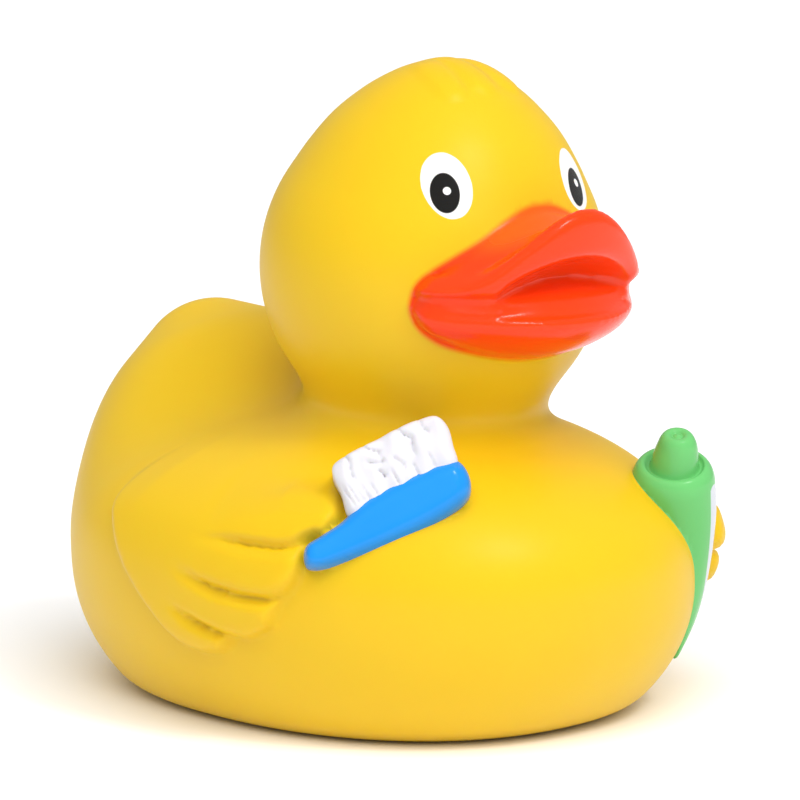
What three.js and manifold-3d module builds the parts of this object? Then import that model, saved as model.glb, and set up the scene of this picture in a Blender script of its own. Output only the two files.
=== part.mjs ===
// A squeaky bath duck, rotocast in one piece of soft vinyl, that holds a toothbrush in its right wing and a
// tube of toothpaste in its left. A squeaker is pressed into a recess in its flat base.
//
// Millimetres. The duck faces -Y, its left side is +X, and it stands on Z = 0.
import * as THREE from "three";
import { mergeVertices } from "three/addons/utils/BufferGeometryUtils.js";
import Module from "manifold-3d";

// Driving dimensions. The body's are measured from the middle of the torso. The crown's rise and the mouth's
// drop are measured from the middle of the head, and the tail tip's rise from the middle of the tail's root. The
// tip's radius is the root's less the taper.

const WALL = 2.4;

const TORSO_SIDE = 34;
const TORSO_FRONT = 43;
const TORSO_BACK = 40.5;
const TORSO_WAIST = 17.5;
const TORSO_RISE = 19.7;
const TORSO_DROP = 26.4;
const TORSO_FULLNESS = 2.22;
const BASE_EDGE_ROUND = 2.5;

const HEAD_FORWARD = 10.8;
const HEAD_HEIGHT = 54.5;
const HEAD_RADIUS = 21;
const HEAD_WIDENING = 1.03;
const CROWN_FORWARD = 12.4;
const CROWN_RISE = 11.1;
const CROWN_RADIUS = 13.7;
const HEAD_SWELL = 0.7;
const NECK_BLEND = 7.2;

const TAIL_ROOT_BACK = 25.3;
const TAIL_ROOT_HEIGHT = 26;
const TAIL_ROOT_RADIUS = 19.7;
const TAIL_TIP_BACK = 30.9;
const TAIL_TIP_RISE = 10;
const TAIL_TAPER = 9.4;
const TAIL_BLEND = 8.5;

const CREST_LIFT = 0.55;
const CREST_TUFT_LENGTH = 14;
const CREST_TUFT_RADIUS = 3;
const CREST_SPREAD = 0.6;

const PALM_LIFT = 2.3;

const BEAK_PIVOT_FORWARD = 16.9;
const BEAK_REACH = 19.5;
const BEAK_CORNER_REACH = 17.4;
const BEAK_TIP_REACH = 1.7;
const BEAK_HALF_ANGLE = 65;
const BEAK_CURL_ANGLE = 50;
const BEAK_MOUTH_ANGLE = 38;
const MOUTH_DROP = 1.4;
const BEAK_CURL_RISE = 9.9;
const BRIDGE_RISE = 9.5;
const CHIN_DROP = 8.2;
const LOWER_LIP_REACH = 20.5;
const LOWER_LIP_DROP = 2.9;

const BRUSH_AZIMUTH = -37;
const BRUSH_HEIGHT = 30.7;
const BRUSH_TILT = 28;
const BRUSH_FACING = -42;
const BRUSH_LEAN_BACK = 18;

const TUBE_AZIMUTH = 34;
const TUBE_LEAN = 0.45;

const HOLE_RADIUS = 6;
const RECESS_RADIUS = 8.6;
const RECESS_DEPTH = 1.7;
const PAD_RADIUS = 11.5;
const PAD_HEIGHT = 4.4;
const CLEARANCE = 0.3;
const PLUG_BORE = 4.2;
const PLUG_RISE = 4.6;
const PLUG_ROOF = 1.4;
const AIR_HOLE = 1.6;
const HOLDER_HEIGHT = 4;
const REED_SLOT = 1.4;
const REED_WIDTH = 3;
const REED_THICKNESS = 0.3;
const REED_CROWN = 0.35;

const BODY_CELL = 3.6;
const CAVITY_CELL = 7;

// Forms. A form is a function of x, y and z that is negative inside, zero on the skin, and near the skin
// about the distance to it in millimetres.

/** An egg with its own radius to the front, back, top and bottom. A fullness over 2 makes it squarer. */
function egg({ x = 0, y = 0, z = 0, side, front, back, up, down, fullness = 2 }) {
  return (px, py, pz) => {
    const u = (px - x) / side;
    const v = (py - y) / (py < y ? front : back);
    const w = (pz - z) / (pz < z ? down : up);
    const reach = Math.hypot(u, v, w);
    if (reach < 1e-6) return -Math.min(side, front, back, up, down);
    const sum = Math.abs(u) ** fullness + Math.abs(v) ** fullness + Math.abs(w) ** fullness;
    const value = sum ** (1 / fullness);
    const steep = (t, radius) => (Math.abs(t) / value) ** (fullness - 1) / radius;
    const steepAlong = steep(v, py < y ? front : back);
    const steepUp = steep(w, pz < z ? down : up);
    return (value - 1) / Math.hypot(steep(u, side), steepAlong, steepUp);
  };
}

/** Two balls of unlike radius and the cone that wraps both, which swells by so much at half its length. */
function roundCone(start, startRadius, end, endRadius, swell = 0) {
  const axis = end.clone().sub(start);
  const span = axis.length();
  axis.divideScalar(span);
  const lean = (startRadius - endRadius) / span;
  const upright = Math.sqrt(1 - lean * lean);
  return (px, py, pz) => {
    const offset = new THREE.Vector3(px, py, pz).sub(start);
    const along = offset.dot(axis);
    const out = Math.sqrt(Math.max(offset.lengthSq() - along * along, 0));
    const slid = along * upright - out * lean;
    if (slid < 0) return Math.hypot(along, out) - startRadius;
    if (slid > span * upright) return Math.hypot(along - span, out) - endRadius;
    const share = slid / (span * upright);
    return out * upright + along * lean - startRadius - 4 * swell * share * (1 - share);
  };
}

/** Two forms joined by a fillet of about that size. */
function blend(a, b, size) {
  return (x, y, z) => {
    const da = a(x, y, z);
    const db = b(x, y, z);
    const share = Math.max(size - Math.abs(da - db), 0) / size;
    return Math.min(da, db) - (share * share * size) / 4;
  };
}

/** What is above the level plane at that height, with a rounded edge. */
function aboveFloor(form, height, round) {
  return (x, y, z) => {
    const da = form(x, y, z);
    const db = height - z;
    const share = Math.max(round - Math.abs(da - db), 0) / round;
    return Math.max(da, db) + (share * share * round) / 4;
  };
}

/**
 * The closed skin of a form, by surface nets: each grid cell that the skin crosses holds one vertex, and
 * each grid edge that it crosses joins the four cells round it.
 */
function skinOf(form, box, cell) {
  const low = box.min.clone().subScalar(1.5 * cell);
  const size = box.getSize(new THREE.Vector3()).addScalar(3 * cell).divideScalar(cell).ceil();
  const [nx, ny, nz] = [size.x + 1, size.y + 1, size.z + 1];
  const at = (i, j, k) => i + nx * (j + ny * k);
  const values = new Float64Array(nx * ny * nz);
  for (let k = 0; k < nz; k++)
    for (let j = 0; j < ny; j++)
      for (let i = 0; i < nx; i++)
        values[at(i, j, k)] = form(low.x + i * cell, low.y + j * cell, low.z + k * cell);

  const corners = [0, 1, 2, 3, 4, 5, 6, 7].map((c) => [c & 1, (c >> 1) & 1, c >> 2]);
  const edges = corners.flatMap((_, i) =>
    [1, 2, 4].filter((bit) => !(i & bit)).map((bit) => [i, i | bit]),
  );
  const vertexOf = new Int32Array(nx * ny * nz).fill(-1);
  const positions = [];
  for (let k = 0; k < nz - 1; k++)
    for (let j = 0; j < ny - 1; j++)
      for (let i = 0; i < nx - 1; i++) {
        const value = corners.map(([a, b, c]) => values[at(i + a, j + b, k + c)]);
        const crossed = edges.filter(([a, b]) => value[a] < 0 !== value[b] < 0);
        if (!crossed.length) continue;
        const sum = new THREE.Vector3();
        for (const [a, b] of crossed) {
          const share = value[a] / (value[a] - value[b]);
          const from = new THREE.Vector3(...corners[a]);
          sum.add(from.lerp(new THREE.Vector3(...corners[b]), share));
        }
        const share = sum.divideScalar(crossed.length);
        const point = share.add(new THREE.Vector3(i, j, k)).multiplyScalar(cell).add(low);
        vertexOf[at(i, j, k)] = positions.length / 3;
        positions.push(...settled(point, form, cell).toArray());
      }

  const triangles = [];
  const steps = [[1, 0, 0], [0, 1, 0], [0, 0, 1]];
  for (let k = 1; k < nz - 1; k++)
    for (let j = 1; j < ny - 1; j++)
      for (let i = 1; i < nx - 1; i++)
        steps.forEach(([a, b, c], axis) => {
          const here = values[at(i, j, k)] < 0;
          if (here === values[at(i + a, j + b, k + c)] < 0) return;
          const [p, q] = [steps[(axis + 1) % 3], steps[(axis + 2) % 3]];
          const ring = [[1, 1], [0, 1], [0, 0], [1, 0]].map(([s, t]) => {
            const [x, y, z] = [i, j, k].map((index, way) => index - s * p[way] - t * q[way]);
            return vertexOf[at(x, y, z)];
          });
          if (!here) ring.reverse();
          triangles.push(...halves(ring, positions, form));
        });
  const geometry = new THREE.BufferGeometry();
  geometry.setAttribute("position", new THREE.Float32BufferAttribute(positions, 3));
  geometry.setIndex(triangles);
  return geometry;
}

/** A point near the skin, moved onto it, by no more than half a cell. */
function settled(point, form, cell) {
  const step = 0.02 * cell;
  const start = point.clone();
  for (let turn = 0; turn < 4; turn++) {
    const { x, y, z } = point;
    const slope = new THREE.Vector3(
      form(x + step, y, z) - form(x - step, y, z),
      form(x, y + step, z) - form(x, y - step, z),
      form(x, y, z + step) - form(x, y, z - step),
    ).divideScalar(2 * step);
    point.addScaledVector(slope, -form(x, y, z) / Math.max(slope.lengthSq(), 0.3));
  }
  return point.sub(start).clampLength(0, 0.5 * cell).add(start);
}

/** The two triangles of a four-cornered face, split along the diagonal that stays nearer to the skin. */
function halves([a, b, c, d], positions, form) {
  const corner = (i) => new THREE.Vector3().fromArray(positions, 3 * i);
  const gap = (i, j) => Math.abs(form(...corner(i).lerp(corner(j), 0.5)));
  return gap(a, c) < gap(b, d) ? [a, b, c, a, c, d] : [a, b, d, b, c, d];
}

const wasm = await Module();
wasm.setup();

/** A closed three.js geometry as a solid that can be cut and joined. */
function solid(geometry) {
  const bare = geometry.clone();
  bare.deleteAttribute("normal");
  bare.deleteAttribute("uv");
  const merged = mergeVertices(bare, 1e-4);
  return new wasm.Manifold(
    new wasm.Mesh({
      numProp: 3,
      vertProperties: new Float32Array(merged.attributes.position.array),
      triVerts: new Uint32Array(merged.index.array),
    }),
  );
}

/** The solid through closed sections of as many points each. Both ends are closed by a fan. */
function loft(sections) {
  const count = sections[0].length;
  const sumOf = (points) => points.reduce((sum, point) => sum.add(point), vector(0, 0, 0));
  const middle = (points) => sumOf(points).divideScalar(count);
  const points = [...sections.flat(), middle(sections[0]), middle(sections.at(-1))];
  const triangles = [];
  const firstEnd = sections.length * count;
  for (let i = 0; i < count; i++) {
    const next = (i + 1) % count;
    for (let row = 0; row < sections.length - 1; row++) {
      const [near, far] = [row * count, (row + 1) * count];
      triangles.push(near + i, near + next, far + next, near + i, far + next, far + i);
    }
    const last = (sections.length - 1) * count;
    triangles.push(next, i, firstEnd, last + i, last + next, firstEnd + 1);
  }
  const inward = triangles.reduce((sum, _, i) => {
    if (i % 3) return sum;
    const [a, b, c] = [0, 1, 2].map((k) => points[triangles[i + k]]);
    return sum + a.dot(b.clone().cross(c));
  }, 0);
  if (inward < 0) triangles.reverse();
  const geometry = new THREE.BufferGeometry().setFromPoints(points);
  geometry.setIndex(triangles);
  return solid(geometry);
}

/** A solid as a geometry that a mesh can show. */
function geometryOf(made) {
  const mesh = made.getMesh();
  const geometry = new THREE.BufferGeometry();
  geometry.setAttribute("position", new THREE.BufferAttribute(mesh.vertProperties, 3));
  geometry.setIndex(new THREE.BufferAttribute(mesh.triVerts, 1));
  geometry.computeVertexNormals();
  return geometry;
}

const vector = (x, y, z) => new THREE.Vector3(x, y, z);
const { lerp, smoothstep, degToRad } = THREE.MathUtils;

// The body's form: a torso that rises into a broad tail, and a head on a short neck

const crownHeight = HEAD_HEIGHT + CROWN_RISE;
const mouthHeight = HEAD_HEIGHT - MOUTH_DROP;

const torso = egg({
  z: TORSO_WAIST,
  side: TORSO_SIDE,
  front: TORSO_FRONT,
  back: TORSO_BACK,
  up: TORSO_RISE,
  down: TORSO_DROP,
  fullness: TORSO_FULLNESS,
});
const tail = roundCone(
  vector(0, TAIL_ROOT_BACK, TAIL_ROOT_HEIGHT),
  TAIL_ROOT_RADIUS,
  vector(0, TAIL_TIP_BACK, TAIL_ROOT_HEIGHT + TAIL_TIP_RISE),
  TAIL_ROOT_RADIUS - TAIL_TAPER,
);
const roundHead = roundCone(
  vector(0, -HEAD_FORWARD, HEAD_HEIGHT),
  HEAD_RADIUS,
  vector(0, -CROWN_FORWARD, crownHeight),
  CROWN_RADIUS,
  HEAD_SWELL,
);
const head = (x, y, z) => {
  const forward = (y + HEAD_FORWARD) * HEAD_WIDENING - HEAD_FORWARD;
  return roundHead(x / HEAD_WIDENING, forward, z);
};
const figure = blend(blend(torso, tail, TAIL_BLEND), head, NECK_BLEND);
const standing = aboveFloor(figure, 0, BASE_EDGE_ROUND);

/** The point of the skin at an azimuth from the front (degrees, left side positive) and a height. */
function skinPoint(azimuth, height) {
  const turn = degToRad(azimuth);
  const at = (reach) => vector(reach * Math.sin(turn), -reach * Math.cos(turn), height);
  let [inside, outside] = [0, 2 * TORSO_FRONT];
  for (let step = 0; step < 40; step++) {
    const middle = (inside + outside) / 2;
    if (figure(...at(middle)) < 0) inside = middle;
    else outside = middle;
  }
  return at(inside);
}

// Low relief. A feather is a curved pad with round ends, half sunk in the skin.

/** The way straight out of the skin at a point of it. */
function outOfSkin({ x, y, z }) {
  const step = 0.05;
  const slope = (a, b, c) => figure(x + a, y + b, z + c) - figure(x - a, y - b, z - c);
  return vector(slope(step, 0, 0), slope(0, step, 0), slope(0, 0, step)).normalize();
}

/** A sine or cosine that gives a squarer oval than a circle's. */
const squared = (value) => Math.sign(value) * Math.abs(value) ** 0.8;

/**
 * A feather along a curve through three places on the skin. Its half width and its lift off the skin go from
 * the first to the last value, and its ends are round.
 */
function feather(places, [startWidth, endWidth], [startLift, endLift]) {
  const rows = 9;
  const around = 12;
  const [start, middle, end] = places.map(([azimuth, height]) => new THREE.Vector2(azimuth, height));
  const bend = middle.multiplyScalar(2).sub(start.clone().lerp(end, 0.5));
  const curve = new THREE.QuadraticBezierCurve(start, bend, end);
  const spots = curve.getPoints(rows).map(({ x, y }) => skinPoint(x, y));
  const length = spots.slice(1).reduce((sum, spot, i) => sum + spot.distanceTo(spots[i]), 0);
  const sections = [];
  for (let row = 0; row <= rows; row++) {
    const share = 0.5 - 0.5 * Math.cos((Math.PI * row) / rows);
    const spot = curve.getPoint(share);
    const at = skinPoint(spot.x, spot.y);
    const ahead = curve.getPoint(Math.min(share + 0.01, 1));
    const behind = curve.getPoint(Math.max(share - 0.01, 0));
    const along = skinPoint(ahead.x, ahead.y).sub(skinPoint(behind.x, behind.y)).normalize();
    const out = outOfSkin(at);
    const across = along.clone().cross(out).normalize();
    const width = lerp(startWidth, endWidth, share);
    const toEnd = Math.min(share * length, (1 - share) * length) / width;
    const round = Math.sqrt(Math.max(1 - Math.max(1 - toEnd, 0) ** 2, 0.003));
    const lift = lerp(startLift, endLift, share);
    const section = [];
    for (let i = 0; i < around; i++) {
      const turn = (2 * Math.PI * i) / around;
      const up = squared(Math.sin(turn)) * (i < around / 2 ? lift : 1.7);
      const aside = squared(Math.cos(turn)) * width;
      const edge = at.clone().addScaledVector(across, aside * round);
      section.push(edge.addScaledVector(out, up * round));
    }
    sections.push(section);
  }
  return loft(sections);
}

// The wings, each a palm and four feathers like fingers. A path is three places, each azimuth and height.

const PALM = [[92, 31.5], [91.5, 22.5], [87, 12.5]];
const RIGHT_FINGERS = [
  { path: [[94, 28.5], [70, 27], [49, 27.6]], tipLift: 2.4 },
  { path: [[93, 24.5], [74, 22], [57, 21.9]], tipLift: 2.3 },
  { path: [[93, 20.8], [78, 17.2], [62, 15.9]], tipLift: 2 },
  { path: [[95, 17.8], [87, 14.4], [71, 12.5]], tipLift: 1.5 },
];
const LEFT_FINGERS = [
  { path: [[94, 27.6], [66, 23.6], [38, 20.6]], tipLift: 5.8 },
  { path: [[93, 23.4], [68, 18.4], [41, 15.8]], tipLift: 5.1 },
  { path: [[93, 19.8], [74, 14.2], [51, 11.2]], tipLift: 2.2 },
  { path: [[95, 16.8], [84, 11.4], [65, 9.2]], tipLift: 1.5 },
];

/** A wing on one side: 1 is the duck's left, -1 its right. */
function wing(side, fingers) {
  const placed = (path) => path.map(([azimuth, height]) => [side * azimuth, height]);
  let made = feather(placed(PALM), [8.4, 7.2], [PALM_LIFT, PALM_LIFT]);
  for (const { path, tipLift } of fingers)
    made = made.add(feather(placed(path), [3.7, 3.3], [PALM_LIFT, tipLift]));
  return made;
}

// The crest: three tufts that sweep forward over the crown

/** The point on the crown straight above or below. */
function crownPoint(x, y) {
  let [inside, outside] = [HEAD_HEIGHT, crownHeight + 2 * CROWN_RADIUS];
  for (let step = 0; step < 30; step++) {
    const middle = (inside + outside) / 2;
    if (figure(x, y, middle) < 0) inside = middle;
    else outside = middle;
  }
  return vector(x, y, inside);
}

function tuft(heading, length) {
  const rows = 8;
  const around = 10;
  const pathAt = (share) => {
    const reach = length * share;
    return crownPoint(Math.sin(heading) * reach, -CROWN_FORWARD + 4 - Math.cos(heading) * reach);
  };
  const sections = [];
  for (let row = 0; row <= rows; row++) {
    const share = 0.5 - 0.5 * Math.cos((Math.PI * row) / rows);
    const at = pathAt(share);
    const along = pathAt(share + 0.01).sub(pathAt(share - 0.01)).normalize();
    const out = outOfSkin(at);
    const across = along.clone().cross(out).normalize();
    const swell = Math.sqrt(Math.max(share * (2.1 - 2 * share), 0.004));
    const section = [];
    for (let i = 0; i < around; i++) {
      const turn = (2 * Math.PI * i) / around;
      const up = swell * Math.sin(turn) * (i < around / 2 ? CREST_LIFT : 1.5);
      const aside = swell * CREST_TUFT_RADIUS * Math.cos(turn);
      section.push(at.clone().addScaledVector(across, aside).addScaledVector(out, up));
    }
    sections.push(section);
  }
  return loft(sections);
}

function crest() {
  const side = 0.8 * CREST_TUFT_LENGTH;
  return tuft(0, CREST_TUFT_LENGTH).add(tuft(-CREST_SPREAD, side)).add(tuft(CREST_SPREAD, side));
}

// The beak, a loft from one corner of the mouth to the other. Each section stands in an upright plane
// through the pivot inside the head.

/** The outline of the beak at an angle from the front, as (reach, height) points from the top down. */
function beakSection(angle) {
  const turn = Math.abs(angle);
  const wave = (limit, power) => Math.max(Math.cos(((Math.PI / 2) * turn) / limit), 0) ** power;
  const curl = turn < BEAK_CURL_ANGLE ? wave(BEAK_CURL_ANGLE, 2) : 0;
  const corner = smoothstep(turn, BEAK_HALF_ANGLE - 10, BEAK_HALF_ANGLE + 6);
  const open = 1 - smoothstep(turn, 0.2 * BEAK_MOUTH_ANGLE, BEAK_MOUTH_ANGLE);

  const rim = lerp(BEAK_REACH + BEAK_TIP_REACH * wave(BEAK_CURL_ANGLE + 12, 1), BEAK_CORNER_REACH, corner);
  const rimHeight = mouthHeight + lerp(1.2, 0.6, corner) + (BEAK_CURL_RISE - 1) * curl;
  const root = lerp(13.2, 16.6, 1 - wave(BEAK_HALF_ANGLE + 4, 0.9));
  const rootHeight = mouthHeight + BRIDGE_RISE * wave(BEAK_HALF_ANGLE + 1, 0.8);
  const lipAhead = lerp(LOWER_LIP_REACH, BEAK_REACH - 0.7, smoothstep(turn, 0, 45));
  const lip = lerp(lipAhead, BEAK_CORNER_REACH, corner);
  const lipHeight = mouthHeight - LOWER_LIP_DROP * lerp(wave(110, 1), 0.1, corner);
  const chin = lerp(12.6, 16.2, 1 - wave(BEAK_HALF_ANGLE + 4, 0.9));
  const chinHeight = mouthHeight - CHIN_DROP * wave(BEAK_HALF_ANGLE + 3, 0.35);
  const throat = lerp(lerp(18.8, 14, open), BEAK_CORNER_REACH - 0.7, corner);
  const throatHeight = mouthHeight + lerp(-0.4, 1.2, open);
  const roof = lerp(rimHeight - 0.9, mouthHeight + 4.2, curl);
  const sunk = lerp(0.1, 2.2, curl);

  return [
    [root - 4, rootHeight + 0.4],
    [root - 0.8, rootHeight],
    [lerp(root, rim, 0.42), lerp(rootHeight, rimHeight, 0.45) - sunk],
    [rim - 2.3, rimHeight - 0.3 - 0.9 * curl],
    [rim - 1, rimHeight],
    [rim, rimHeight - 0.9],
    [rim - 0.2, lerp(rimHeight - 1.3, roof, 0.55)],
    [rim - 1.2, roof],
    [lerp(throat, rim - 1.2, 0.45), lerp(throatHeight, roof, 0.5) + 0.3 * open],
    [throat, throatHeight],
    [lerp(throat, lip, 0.5), lerp(throatHeight, lipHeight, 0.5) - 0.1],
    [lip - 1, lipHeight + 0.5],
    [lip, lipHeight - 0.3],
    [lip - 1.1, lipHeight - lerp(1.9, 0.9, corner)],
    [lerp(lip, chin, 0.55), lerp(lipHeight, chinHeight, 0.7)],
    [chin - 1, chinHeight + 0.2],
    [chin - 4, chinHeight + 0.2],
  ];
}

function beak() {
  const half = BEAK_HALF_ANGLE + 8;
  const sections = [];
  for (let step = -13; step <= 13; step++) {
    const angle = (half * step) / 13;
    const turn = degToRad(angle);
    const place = (reach, height) =>
      vector(reach * Math.sin(turn), -BEAK_PIVOT_FORWARD - reach * Math.cos(turn), height);
    const outline = beakSection(angle).map(([reach, height]) => place(reach, height));
    sections.push(new THREE.CatmullRomCurve3(outline, true, "centripetal").getPoints(30).slice(0, -1));
  }
  return loft(sections);
}

// Things held. Both are shown part sunk in the breast, so only their outer halves are made.

/** A frame on the breast: across to the viewer's right, up, and out towards the viewer. */
function frameAt(origin, azimuth, elevation) {
  const [turn, rise] = [degToRad(azimuth), degToRad(elevation)];
  const out = vector(Math.sin(turn) * Math.cos(rise), -Math.cos(turn) * Math.cos(rise), Math.sin(rise));
  const across = vector(0, 0, 1).cross(out).normalize();
  const up = out.clone().cross(across);
  return new THREE.Matrix4().makeBasis(across, up, out).setPosition(origin);
}

/** A closed smooth outline through the points. */
function smoothOutline(points, count) {
  const places = points.map(([x, y]) => vector(x, y, 0));
  return new THREE.CatmullRomCurve3(places, true, "centripetal").getPoints(count).slice(0, -1);
}

/** A pad of that outline from below the skin to the front. Its front edge rounds in towards the spine. */
function pad(outline, spine, { back, front, round, inset }) {
  const middle = (point) => spine.closestPointToPoint(point, true, vector(0, 0, 0));
  const section = (share, height) =>
    outline.map((point) => point.clone().lerp(middle(point), share).setZ(height));
  const sections = [section(0, back)];
  for (let step = 0; step <= 5; step++) {
    const turn = (Math.PI / 2) * (step / 5);
    sections.push(section(inset * (1 - Math.cos(turn)), front - round * (1 - Math.sin(turn))));
  }
  return sections;
}

const HANDLE_OUTLINE = [
  [-12.6, -1.5], [-13.5, -3.6], [-12.4, -4.5], [-8.6, -5.3], [-2, -5.9], [3.3, -5.7], [6.8, -4.3],
  [7.8, -2.4], [7.4, -0.4], [5.5, 0.4], [2.3, 0.6], [-1.3, 0.7], [-4.6, 0.3], [-7.5, -0.7], [-10.4, -1.1],
];
const BRISTLE_OUTLINE = [
  [-6.3, -1], [-6.1, 2.2], [-6, 4.5], [-5.5, 5.9], [-3.7, 6.4], [0.2, 6.5], [5.3, 6.4], [7.7, 5.6],
  [8.5, 3.9], [8.1, 1.5], [7.3, -1],
];

/** The toothbrush head, a stub of its handle under the bristle block, both seen face on. */
function toothbrush() {
  const handleOutline = smoothOutline(HANDLE_OUTLINE, 54);
  const handleSpine = new THREE.Line3(vector(-11.8, -3, 0), vector(4.8, -2.6, 0));
  const handle = pad(handleOutline, handleSpine, { back: -7, front: 4.8, round: 3, inset: 0.75 });
  const bristleOutline = smoothOutline(BRISTLE_OUTLINE, 40);
  const bristleSpine = new THREE.Line3(vector(-2, 3, 0), vector(4.5, 3, 0));
  const bristles = pad(bristleOutline, bristleSpine, { back: -7, front: 4, round: 1.1, inset: 0.3 });
  const tilt = new THREE.Matrix4().makeRotationZ(degToRad(BRUSH_TILT));
  const spot = skinPoint(BRUSH_AZIMUTH, BRUSH_HEIGHT);
  const place = frameAt(spot, BRUSH_FACING, BRUSH_LEAN_BACK).multiply(tilt);
  return [handle, bristles].map((sections) => {
    for (const point of sections.flat()) point.applyMatrix4(place);
    return loft(sections);
  });
}

/** The tube stands on its crimp under the left wing and leans forward. Its rows are oval sections. */
function toothpaste() {
  const facing = degToRad(48);
  const out = vector(Math.sin(facing), -Math.cos(facing), 0);
  const across = vector(-out.y, out.x, 0);
  const axis = vector(0, 0, 1).addScaledVector(across, -TUBE_LEAN).normalize();
  const wideWay = axis.clone().cross(out);
  const foot = skinPoint(TUBE_AZIMUTH, TORSO_WAIST);
  const rows = [
    { height: 8.9, out: -2.8, thick: 0.9, wide: 6.6 },
    { height: 10.2, out: -2.3, thick: 1.3, wide: 6.7 },
    { height: 12.5, out: -1.8, thick: 2, wide: 6.5 },
    { height: 15.5, out: -1.8, thick: 2.9, wide: 6.2 },
    { height: 19.5, out: -2.2, thick: 3.9, wide: 5.7 },
    { height: 25, out: -2.9, thick: 4.9, wide: 5.3 },
    { height: 29, out: -3.4, thick: 5.1, wide: 5.1 },
    { height: 30.6, out: -3.4, thick: 4.7, wide: 4.7 },
    { height: 31.5, out: -3.3, thick: 3.7, wide: 3.7 },
    { height: 31.6, out: -3.3, thick: 3.1, wide: 3.1 },
    { height: 34, out: -3.1, thick: 2.6, wide: 2.6 },
    { height: 34.9, out: -3.1, thick: 2.15, wide: 2.15 },
    { height: 35.3, out: -3.1, thick: 1.3, wide: 1.3 },
  ];
  const sections = rows.map((row) => {
    const centre = foot.clone().addScaledVector(out, row.out).setZ(row.height);
    centre.addScaledVector(across, -TUBE_LEAN * (row.height - TORSO_WAIST));
    const points = [];
    for (let i = 0; i < 28; i++) {
      const turn = (2 * Math.PI * i) / 28;
      const point = centre.clone().addScaledVector(wideWay, row.wide * Math.cos(turn));
      points.push(point.addScaledVector(out, row.thick * Math.sin(turn)));
    }
    return points;
  });
  return loft(sections);
}

// The shell

/** A solid of revolution about Z, from an outline of (radius, height) points. */
function turned(points, segments = 40) {
  const outline = points.map(([radius, height]) => new THREE.Vector2(radius, height));
  return solid(new THREE.LatheGeometry(outline, segments).rotateX(Math.PI / 2));
}

/** A round disc about Z between two heights. */
const disc = (radius, low, high) => turned([[0, low], [radius, low], [radius, high], [0, high]]);

function shell() {
  const low = vector(-TORSO_SIDE, -TORSO_FRONT, 0);
  const rear = Math.max(TORSO_BACK, TAIL_ROOT_BACK + TAIL_ROOT_RADIUS);
  const around = new THREE.Box3(low, vector(TORSO_SIDE, rear, crownHeight + CROWN_RADIUS));
  const inner = (x, y, z) => Math.max(standing(x, y, z) + WALL, WALL - z);
  let made = solid(skinOf(standing, around, BODY_CELL));
  const wings = [wing(-1, RIGHT_FINGERS), wing(1, LEFT_FINGERS)];
  for (const part of [beak(), ...wings, crest(), toothpaste(), ...toothbrush()]) made = made.add(part);
  made = made.subtract(solid(skinOf(inner, around, CAVITY_CELL)));
  made = made.add(disc(PAD_RADIUS, 1, PAD_HEIGHT));
  made = made.subtract(disc(RECESS_RADIUS, -1, RECESS_DEPTH));
  return made.subtract(disc(HOLE_RADIUS, -1, PAD_HEIGHT + 1));
}

// The squeaker: a plug that snaps into the hole in the base, with a reed in a small holder in its bore

function squeakerPlug() {
  const stem = HOLE_RADIUS - CLEARANCE;
  const bead = PAD_HEIGHT + CLEARANCE;
  const top = PAD_HEIGHT + PLUG_RISE;
  return turned([
    [PLUG_BORE, CLEARANCE],
    [RECESS_RADIUS - CLEARANCE - 0.4, CLEARANCE],
    [RECESS_RADIUS - CLEARANCE, CLEARANCE + 0.4],
    [RECESS_RADIUS - CLEARANCE, RECESS_DEPTH - CLEARANCE],
    [stem, RECESS_DEPTH - CLEARANCE],
    [stem, bead],
    [stem + 0.8, bead],
    [stem + 0.8, bead + 0.5],
    [stem, bead + 1.6],
    [stem - 0.3, top],
    [AIR_HOLE, top],
    [AIR_HOLE, top - PLUG_ROOF],
    [PLUG_BORE, top - PLUG_ROOF],
    [PLUG_BORE, CLEARANCE],
  ]);
}

/** The holder is a short tube with a slot across its lower end that the reed lies in. */
function reedHolder() {
  const radius = PLUG_BORE - CLEARANCE;
  const top = PAD_HEIGHT + PLUG_RISE - PLUG_ROOF - CLEARANCE;
  const tube = turned([
    [AIR_HOLE, top - HOLDER_HEIGHT],
    [radius, top - HOLDER_HEIGHT],
    [radius, top],
    [AIR_HOLE, top],
    [AIR_HOLE, top - HOLDER_HEIGHT],
  ]);
  const slot = new THREE.BoxGeometry(REED_WIDTH + 2 * CLEARANCE, 2 * radius - 2, 2 * REED_SLOT);
  return tube.subtract(solid(slot.translate(0, 0, top - HOLDER_HEIGHT)));
}

/** The reed is a thin brass tongue, crowned a little so that the air can lift it. */
function reed() {
  const low = PAD_HEIGHT + PLUG_RISE - PLUG_ROOF - CLEARANCE - HOLDER_HEIGHT + REED_SLOT - CLEARANCE;
  const half = PLUG_BORE - CLEARANCE - 1 - CLEARANCE;
  const rows = 8;
  const sections = [];
  for (let row = 0; row <= rows; row++) {
    const y = lerp(-half, half, row / rows);
    const crown = REED_CROWN * (y / half) ** 2;
    const [x, bottom, top] = [REED_WIDTH / 2, low - crown - REED_THICKNESS, low - crown];
    sections.push([vector(-x, y, bottom), vector(x, y, bottom), vector(x, y, top), vector(-x, y, top)]);
  }
  return loft(sections);
}

// The whole duck, with the middle of its footprint on the origin

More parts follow.
